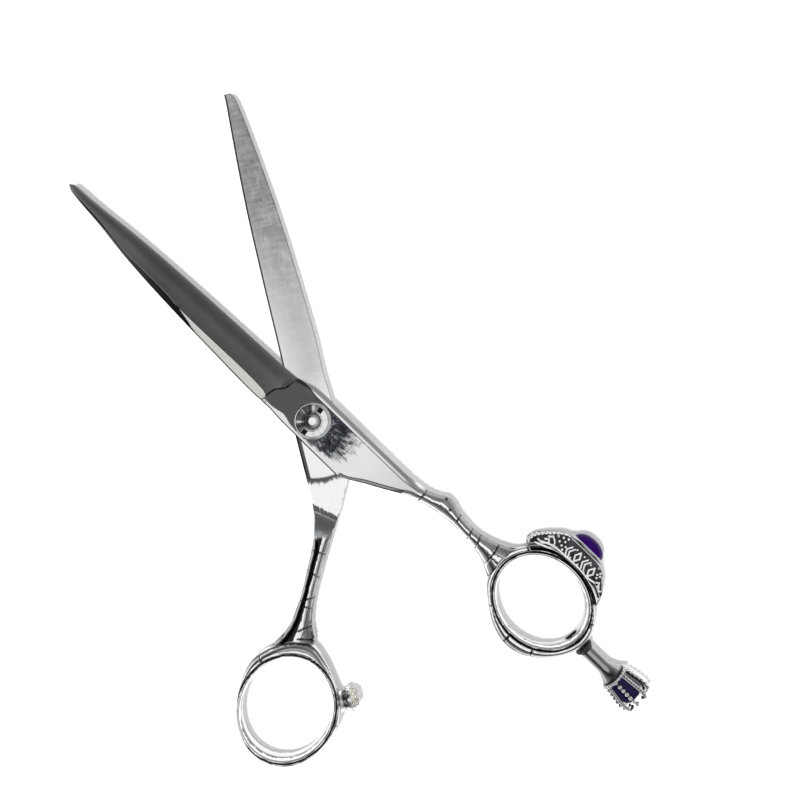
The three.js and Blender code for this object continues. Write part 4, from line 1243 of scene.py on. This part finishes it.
def crest_motif(x, y, inner_gap, outer_gap):
    """Raised height, 0 to 1, of the crest's ornament."""
    raised = np.zeros(x.shape)

    def add(distance, half_width):
        nonlocal raised
        line = smooth_step(half_width + 0.09, half_width - 0.06, distance)
        raised = np.maximum(raised, line)

    for path in CREST_RIDGES:
        add(distance_to_path(x, y, open_curve(path, 24)), 0.27)
    for path in CREST_KEYS:
        add(distance_to_path(x, y, path), 0.24)
    for cx, cy in CREST_BEADS:
        add(np.hypot(x - cx, y - cy), 0.33)
    # Flutes beside the ring at both ends.
    flutes = 0.5 + 0.5 * np.cos(2 * np.pi * inner_gap / 0.6)
    at_ends = smooth_step(5.4, 6.6, np.abs(y - GEM_Y)) * smooth_step(1.9, 1.4, inner_gap)
    raised = np.maximum(raised, 0.8 * flutes * at_ends)
    # The band of lozenges and chevrons.
    for i, centre in enumerate(np.linspace(-3.6, 3.6, 4)):
        cx, cy = 20.75 - 0.03 * centre**2, GEM_Y + centre
        if i % 2 == 0:
            lines = [([(1.35, 0), (0, 0.72), (-1.35, 0), (0, -0.72), (1.35, 0)], 0.26)]
        else:
            lines = [([(1.3, shift - 0.35), (0, shift + 0.35), (-1.3, shift - 0.35)], 0.25)
                     for shift in (-0.42, 0.42)]
        for corners, half_width in lines:
            add(distance_to_path(x, y, [(cx + a, cy + b) for a, b in corners]), half_width)
        if i < 3:
            for side in (-1.25, 1.25):
                add(np.hypot(x - cx - side, y - cy - 1.2), 0.29)
    add(outer_gap + 9 * (np.abs(y - GEM_Y) > 5.2), 0.18)
    return raised


def wall_motif(turn, z):
    """Raised height, 0 to 1, of the zigzag, beads and rails round the crest's outside."""
    along = 16.0 * turn  # in mm, at the wall's distance from the bore's centre
    share = np.mod(along / 2.6, 1.0)
    zigzag = 1.5 * (np.abs(4 * share - 2) - 1)
    raised = smooth_step(0.42, 0.24, np.abs(z - zigzag))
    for start, height in ((0.0, -0.7), (0.5, 0.7)):
        near = np.hypot((np.mod(share - start + 0.5, 1.0) - 0.5) * 2.6, z - height)
        raised = np.maximum(raised, smooth_step(0.5, 0.32, near))
    for height in (-2.45, 2.45):
        raised = np.maximum(raised, smooth_step(0.3, 0.16, np.abs(z - height)))
    dots = np.hypot((np.mod(along / 0.9, 1.0) - 0.5) * 0.9, np.abs(z) - 3.05)
    raised = np.maximum(raised, smooth_step(0.36, 0.22, dots))
    return raised * smooth_step(0.29, 0.33, np.abs(turn))


def crest():
    along, across = 330, 96
    x, y, inner_gap, outer_gap = crest_grid(along, across)
    raised = crest_motif(x, y, inner_gap, outer_gap)
    height = CREST_HALF_DEPTH - 0.5 + 0.2 * smooth_step(0, 0.5, outer_gap) + 0.3 * raised
    height = height * smooth_step(-0.4, 0.15, inner_gap)
    levels = np.linspace(0.93, -0.93, 61)
    wall_x, wall_y = (np.repeat(c[:, -1:], len(levels), axis=1) for c in (x, y))
    wall_z = levels[None, :] * height[:, -1:]
    u, v = FINGER_HALF["bore"][:2]
    turn = np.arctan2(wall_y - v, wall_x - u)
    out = 0.2 * wall_motif(turn, wall_z) * (1 - np.abs(levels) ** 12)
    outer_wall = [wall_x + out * np.cos(turn), wall_y + out * np.sin(turn), wall_z]
    levels = np.linspace(-0.8, 0.8, 5)
    inner_wall = [np.repeat(c[:, :1], len(levels), axis=1) for c in (x, y)]
    inner_wall.append(levels[None, :] * height[:, :1])
    under = [x[:, ::-1], y[:, ::-1], -height[:, ::-1]]
    sides = [np.stack(side, axis=2) for side in ([x, y, height], outer_wall, under, inner_wall)]

    def rub(u, v, w):
        ring = polar(FINGER_HALF, u, v)
        outline = open_curve(CREST_OUTLINE, along)
        outer_gap = distance_to_path(u, v, [*outline[::6], outline[-1]])
        face = crest_motif(u, v, ring.out - ring.wall - CREST_GAP, outer_gap)
        return np.where(np.abs(w) > 3.5, face, wall_motif(ring.angle, w))

    add_piece("crest_setting", "finger_half", SILVER, finger_place,
              mesh_of(loft(np.concatenate(sides, axis=1))), {"rub": rub}, 40, "crest_piece")


def oval(x, length, width, sides=96):
    """A loop round the gem's axis, which is along u."""
    angle = np.linspace(0, 2 * math.pi, sides, endpoint=False)
    loop = [np.full(sides, x), GEM_Y + length * np.cos(angle), width * np.sin(angle)]
    return np.stack(loop, axis=1)


def gem():
    # How much wider than the gem the bezel is, by its height.
    profile = [(0.6, 23.38), (0.65, 23.6), (0.6, 23.85), (0.5, 24.02), (0.36, 24.1), (0.24, 24.06),
               (0.16, 23.95), (0.15, 23.76), (-3.0, 23.76), (-3.0, 23.38)]
    bezel = loft([oval(x, GEM_LENGTH + grow, GEM_WIDTH + grow) for grow, x in profile], ring=True)
    length, width = GEM_LENGTH + 0.52, GEM_WIDTH + 0.5
    grains = [bead((23.98, GEM_Y + length * math.cos(a), width * math.sin(a)), 0.2, 6, 10)
              for a in around(40, 0.5)]
    # Painted shade on the foot of the bezel, where it sits on the crest.
    add_piece("gem_bezel", "finger_half", PLAIN_CHROME, finger_place,
              mesh_of(joined([bezel, *grains])),
              {"soot_and_shade": lambda u, v, w: 0.85 * smooth_step(23.75, 23.55, u)}, 40, "bezel_piece")
    seat, rise = 23.9, 2.9
    angle = np.linspace(0, math.pi / 2, 26)[:-1]
    profile = [(0.9, seat - 0.08), (0.97, seat - 0.06)]
    profile += [(math.cos(a) ** 0.92, seat + rise * math.sin(a)) for a in angle]
    stone = loft([oval(x, GEM_LENGTH * share, GEM_WIDTH * share) for share, x in profile])
    add_piece("gem_cabochon", "finger_half", PURPLE, finger_place,
              mesh_of(stone), None, 50, "cabochon_piece")


# ---- Finger rest ----
def rest():
    """The turned pieces of the finger rest, by radius and distance behind the pivot."""
    washer = [(1.3, 84.72), (2.12, 84.72), (2.28, 84.8), (2.34, 85.0), (2.35, 85.25), (2.28, 85.45),
              (2.06, 85.62), (1.9, 85.85), (1.84, 85.98), (1.3, 85.98)]
    stud = [(0, 81.4), (1.0, 81.4), (1.2, 81.6), *thread(1.2, 1.08, 81.8, 84.4, 0.5), (1.2, 84.6),
            (1.2, 88.0), (1.1, 88.1), (0, 88.1)]
    stem = [(0, 88.2), (1.3, 88.2), (1.3, 86.1), (1.55, 86.1), (1.72, 86.2), (1.75, 86.4),
            (1.75, 91.4), (1.8, 91.9), (1.95, 92.5), (2.25, 93.3), (2.65, 94.0), (3.0, 94.45),
            (3.18, 94.7), (3.2, 94.9), (3.1, 95.0), (0, 95.0)]
    # Painted shade on the end of the stem's flare, next to the crown.
    masks = {"soot_and_shade": lambda x, y, z: 0.9 * smooth_step(94.35, 94.75, z)}
    for node, body, slot, material, profile in (
        ("rest_washer", "rest_slide", "washer_rubber", RUBBER, washer),
        ("rest_stud", "finger_rest", "stem_steel", STEM_STEEL, stud),
        ("rest_stem", "finger_rest", "stem_steel", STEM_STEEL, stem),
    ):
        add_piece(node, body, material, rest_place, mesh_of(turned(profile)), masks, 35)


def thread(crest_radius, root_radius, start, end, pitch):
    profile, at = [], start
    while at < end - pitch / 2:
        profile += [(root_radius, at), (crest_radius, at + pitch / 2)]
        at += pitch
    return profile


ARCHES = 8
ARCH_TURN = 11.7
ARCH_PATH = [(3.1, 95.5), (3.3, 97.1), (3.75, 99.6), (4.0, 101.4), (3.75, 102.8), (3.05, 103.35),
             (2.35, 103.15)]
CROWN_BASE = 95.12


def crown():
    base = [(0, 0), (3.35, 0), (3.5, 0.12), (3.5, 0.62), (3.35, 0.8), (0, 0.8)]
    shells = [turned([(radius, CROWN_BASE + height) for radius, height in base])]
    shells += bead_ring(26, 3.45, CROWN_BASE + 0.42, 0.4)
    path = open_curve(ARCH_PATH, 40)
    for i in range(ARCHES):
        angle = math.radians(90 + ARCH_TURN + i * 360 / ARCHES)
        out = np.array([math.cos(angle), math.sin(angle), 0])
        side = np.array([-math.sin(angle), math.cos(angle), 0])
        line = path[:, :1] * out + path[:, 1:] * np.array([0, 0, 1])
        shells.append(tube(line - out * 0.1, 0.3, 10, 0.45, out))
        # Arches are beaded and railed in turn.
        beaded = i % 2 == 0
        if not beaded:
            for offset in (-0.36, 0.36):
                shells.append(tube(line + side * offset, 0.17, 10, 1.0, side))
        for k in range(2, 37, 5 if beaded else 3):
            shells.append(bead(line[k] + out * 0.25, 0.5 if beaded else 0.27, 8, 14))
        shells.append(bead(line[-1] + out * 0.05, 0.36, 7, 12))

    def soot_and_shade(x, y, z):
        """Painted shade between the beads and rails, on the side that faces the stone."""
        radius = np.hypot(x, y)
        inward = smooth_step(0.2, 0.04, radius - np.interp(z, path[:34, 1], path[:34, 0]))
        circlet = smooth_step(3.52, 3.4, radius) * (z < CROWN_BASE + 0.9)
        return np.clip(0.88 * inward + 0.8 * circlet, 0, 0.92)

    add_piece("crown", "finger_rest", PLAIN_CHROME, rest_place,
              mesh_of(joined(shells)), {"soot_and_shade": soot_and_shade}, 60)
    profile = [(0, 96.1), (2.2, 96.1), (2.32, 96.5), (2.5, 97.1), (2.75, 98.3), (2.95, 99.6),
               (3.13, 100.9), (2.95, 101.5), (2.6, 101.9), (2.0, 102.2), (1.2, 102.35), (0, 102.4)]
    add_piece("crown_stone", "finger_rest", BLUE, rest_place,
              mesh_of(turned(profile, 12)), None, 8)


# ---- Bumper on the thumb ring ----
def stopper_painted_shade(x, y, z):
    """Painted shade between the claws of the cup and in the groove of its foot."""
    between = smooth_step(0.1, 0.5, np.cos(9 * np.arctan2(y, x)))
    body = smooth_step(-10.35, -10.15, z) * smooth_step(-8.85, -9.05, z)
    return np.maximum(0.9 * bump(z, -9.95, 0.14), 0.92 * between * body)


def stopper():
    cup = [(1.0, -10.45), (1.3, -11.3), (3.0, -11.6), (2.7, -11.1), (2.4, -10.6), (2.35, -10.3),
           (2.25, -10.05), (2.35, -9.85), (2.6, -9.5), (2.8, -9.1), (2.9, -8.8), (2.9, -8.4),
           (2.95, -8.15), (2.85, -7.95), (2.6, -7.95), (2.4, -8.4), (2.4, -9.18), (1.0, -9.18)]
    shell = joined([turned(cup, 80), *bead_ring(20, 2.84, -8.3, 0.27, 6, 8)])
    add_piece("stopper_cup", "thumb_half", PLAIN_CHROME, stopper_place,
              mesh_of(shell), {"soot_and_shade": stopper_painted_shade}, 40)
    stud = [(0, -12.7), (0.75, -12.7), (0.9, -12.55), (0.9, -9.4), (0.8, -9.32), (0, -9.32)]
    add_piece("stopper_stud", "thumb_half", STEM_STEEL, stopper_place,
              mesh_of(turned(stud, 48)), None, 40)
    # The crystal's loops: radius, height and turn, as a share of one facet.
    facets = 8
    loops = []
    for radius, z, turn in ((1.9, -9.08, 0), (2.38, -8.7, 0), (2.55, -8.0, 0.5), (2.5, -7.4, 0),
                            (2.1, -6.75, 0.5), (1.5, -6.35, 0), (0.6, -6.3, 0)):
        a = np.array(around(facets, turn))
        loops.append(np.stack([radius * np.cos(a), radius * np.sin(a), np.full(facets, z)], axis=1))
    add_piece("stopper_jewel", "thumb_half", CRYSTAL, stopper_place,
              mesh_of(loft(loops)), None, 5)


# ---- Pivot ----
HEAD_TOP = 1.6
NUT_BASE = NUT_TOP - 1.2
NUT_RADIUS = 4.2
NUT_TURN = 8  # degrees


def tension_nut():
    bore = SHAFT_RADIUS + 0.06
    below_top = [(NUT_RADIUS, 0.42), (4.14, 0.36), (3.86, 0.08), (3.74, 0.02), (3.55, 0.03),
                 (2.9, 0.1), (2.5, 0.1), (2.3, 0.02), (2.18, 0.02), (bore, 0.14)]
    profile = [(bore, NUT_BASE), (4.1, NUT_BASE), (NUT_RADIUS, NUT_BASE + 0.08)]
    profile += [(radius, NUT_TOP - depth) for radius, depth in below_top]
    mesh = mesh_of(turned(profile, 128))
    for near, far in ((-3.8, -2.55), (2.55, 3.8)):
        slot = box_shell((near, -0.6, NUT_TOP - 0.6), (far, 0.6, NUT_TOP + 1))
        mesh = combined(mesh, slot, "DIFFERENCE")

    # Painted shade inside the slots.
    def in_slots(x, y, z):
        radius = np.hypot(x, y)
        inside = (z < NUT_TOP - 0.45) * (z > NUT_BASE + 0.3)
        return 1.0 * inside * (radius < 3.95) * (radius > 2.4)

    # Painted shade on one side of the nut's face.
    def shade(x, y, z):
        """Darker on the side that faces the picture's upper left."""
        lean = (y - 0.05 * x) / NUT_RADIUS
        return smooth_step(-0.12, 0.3, lean) * (np.hypot(x, y) < 3.95)

    add_piece("tension_nut", "tension_nut", NUT_STEEL, lambda p: spun(p, NUT_TURN),
              mesh, {"soot_and_shade": in_slots, "shade": shade}, 20)


def pivot_screw():
    above_nut = [(1.75, -0.06), (1.62, 0.02), (1.5, 0.05), (1.2, 0.2), (0.8, 0.3), (0.4, 0.35),
                 (0, 0.36)]
    profile = [(0, 0), (3.8, 0), (3.95, 0.06), (4.42, 0.55), (4.5, 0.7), (4.5, HEAD_TOP - 0.08),
               (4.42, HEAD_TOP), (SHAFT_RADIUS, HEAD_TOP), (SHAFT_RADIUS, NUT_TOP - 0.4),
               (SHAFT_RADIUS - 0.08, NUT_TOP - 0.2)]
    profile += [(radius, NUT_TOP + height) for radius, height in above_nut]
    key = box_shell((-2.3, -2.3, 0.8), (2.3, 2.3, HEAD_TOP + 1.0))
    key = Shell(spun(key.points, -REST_OPENING), key.faces)

    # Painted shade: a dark ring round the rim of the screw's end, where it meets the nut.
    def soot_and_shade(x, y, z):
        return 0.8 * bump(np.hypot(x, y), 1.68, 0.12) * (z > NUT_TOP - 0.3)

    add_piece("pivot_screw", "thumb_half", PLAIN_CHROME, row_place,
              combined(mesh_of(turned(profile, 128)), key, "UNION"), {"soot_and_shade": soot_and_shade}, 24)


def pivot_rings():
    e = 0.05  # rounding of the edges
    top = PARTING + PLATE_TOP
    for node, body, slot, material, inner, outer, low, high in (
        ("pivot_bush", "finger_half", "bush_nylon", NYLON, SHAFT_RADIUS + 0.1, SHAFT_RADIUS + 0.6,
         PARTING + RIDE, top),
        ("bearing_washer", "finger_half", "bearing_bronze", BRONZE, 2.9, 4.4,
         PARTING - 0.4, PARTING + 0.4),
        ("spring_washer", "thumb_half", "handle_steel", PLAIN_CHROME, 2.3, 4.5,
         top + 0.1, top + 0.4),
    ):
        profile = [(inner + e, low), (outer - e, low), (outer, low + e), (outer, high - e),
                   (outer - e, high), (inner + e, high), (inner, high - e), (inner, low + e)]
        add_piece(node, body, material, row_place, mesh_of(turned(profile)), None, 50)


finger_blade()
thumb_blade()
finger_handle()
thumb_handle()
crest()
gem()
rest()
crown()
stopper()
tension_nut()
pivot_screw()
pivot_rings()

# ---- Floor, light and camera ----
scene = bpy.context.scene
scene.view_settings.view_transform = "Standard"


def paper_floor():
    s = Shader("floor_paper", Roughness=0.9, Emission_Color=(1, 1, 1, 1), Emission_Strength=0.22)
    grain = s.noise(s.place(), 60, 3, 0.5)
    s.feed(s.surface.inputs["Base Color"], s.ramp(grain, [(0.3, 0.93), (0.7, 0.945)]))
    mesh = mesh_of(box_shell((-900, -900, -6), (900, 900, -0.02)))
    set_points(mesh, points_of(mesh))
    floor = bpy.data.objects.new("floor", mesh)
    scene.collection.objects.link(floor)
    mesh.materials.append(s.material)


def area_light(name, place, aim, size, power):
    """A square soft light; place and aim in millimetres."""
    lamp = bpy.data.lights.new(name, "AREA")
    lamp.shape = "SQUARE"
    lamp.size = size * MM
    lamp.energy = power
    made = bpy.data.objects.new(name, lamp)
    scene.collection.objects.link(made)
    place, aim = np.array(place, float), np.array(aim, float)
    back = (place - aim) / np.linalg.norm(place - aim)
    side = np.cross((0, 0, 1), back)
    side /= np.linalg.norm(side)
    put(made, [side, np.cross(back, side), back], place)
    made.visible_glossy = False


def put(item, axes, place):
    """Turns an object's axes to the given ones and moves it to place, in millimetres."""
    turn = Matrix(np.stack(axes, axis=1).tolist()).to_4x4()
    item.matrix_world = Matrix.Translation(tuple(np.array(place) * MM)) @ turn


PHOTO_UP = np.array([0.718, 0.696])  # the picture's up, on the floor
PHOTO_RIGHT = np.array([0.696, -0.718])
LOOK_AT = np.array([18.2, -11.5])
CAMERA_HEIGHT = 265.0
LENS = 48.35


def on_floor(right, up, height):
    x, y = LOOK_AT + PHOTO_RIGHT * right + PHOTO_UP * up
    return (x, y, height)


# Light of the room by height above the horizon (0 to 1), on the picture's left and on its right.
LEFT_LIGHT = [(0.0, 0.55), (0.3, 0.3), (0.55, 0.1), (0.72, 0.02), (0.86, 0.12), (0.915, 1.0),
              (1.0, 1.0)]
RIGHT_LIGHT = [(0.0, 0.65), (0.3, 0.45), (0.6, 0.3), (0.86, 0.5), (0.92, 0.95), (1.0, 1.0)]


def studio():
    world = bpy.data.worlds.new("studio")
    scene.world = world
    world.use_nodes = True
    nodes = Nodes(world.node_tree)
    turn = (0, 0, math.atan2(PHOTO_UP[0], PHOTO_UP[1]))
    x, _, z = nodes.split(nodes.mapped(nodes.coordinates("Generated"), "Rotation", turn))
    side = nodes.maths("MULTIPLY_ADD", x, 1.1, 0.5, use_clamp=True)
    left, right = (nodes.ramp(z, [(at, (level, level, level * 1.01)) for at, level in stops])
                   for stops in (LEFT_LIGHT, RIGHT_LIGHT))
    background = nodes.tree.nodes["Background"]
    nodes.feed(background.inputs["Color"], nodes.mix(side, left, right))
    area_light("key", on_floor(-88, -74, 520), on_floor(0, 0, 0), 60, 2.5)


def camera():
    data = bpy.data.cameras.new("camera")
    data.lens = LENS
    data.sensor_width = 36
    made = bpy.data.objects.new("camera", data)
    scene.collection.objects.link(made)
    axes = [(*PHOTO_RIGHT, 0), (*PHOTO_UP, 0), (0, 0, 1)]
    put(made, axes, on_floor(0, 0, CAMERA_HEIGHT))
    scene.camera = made


paper_floor()
studio()
camera()

bpy.context.view_layer.update()
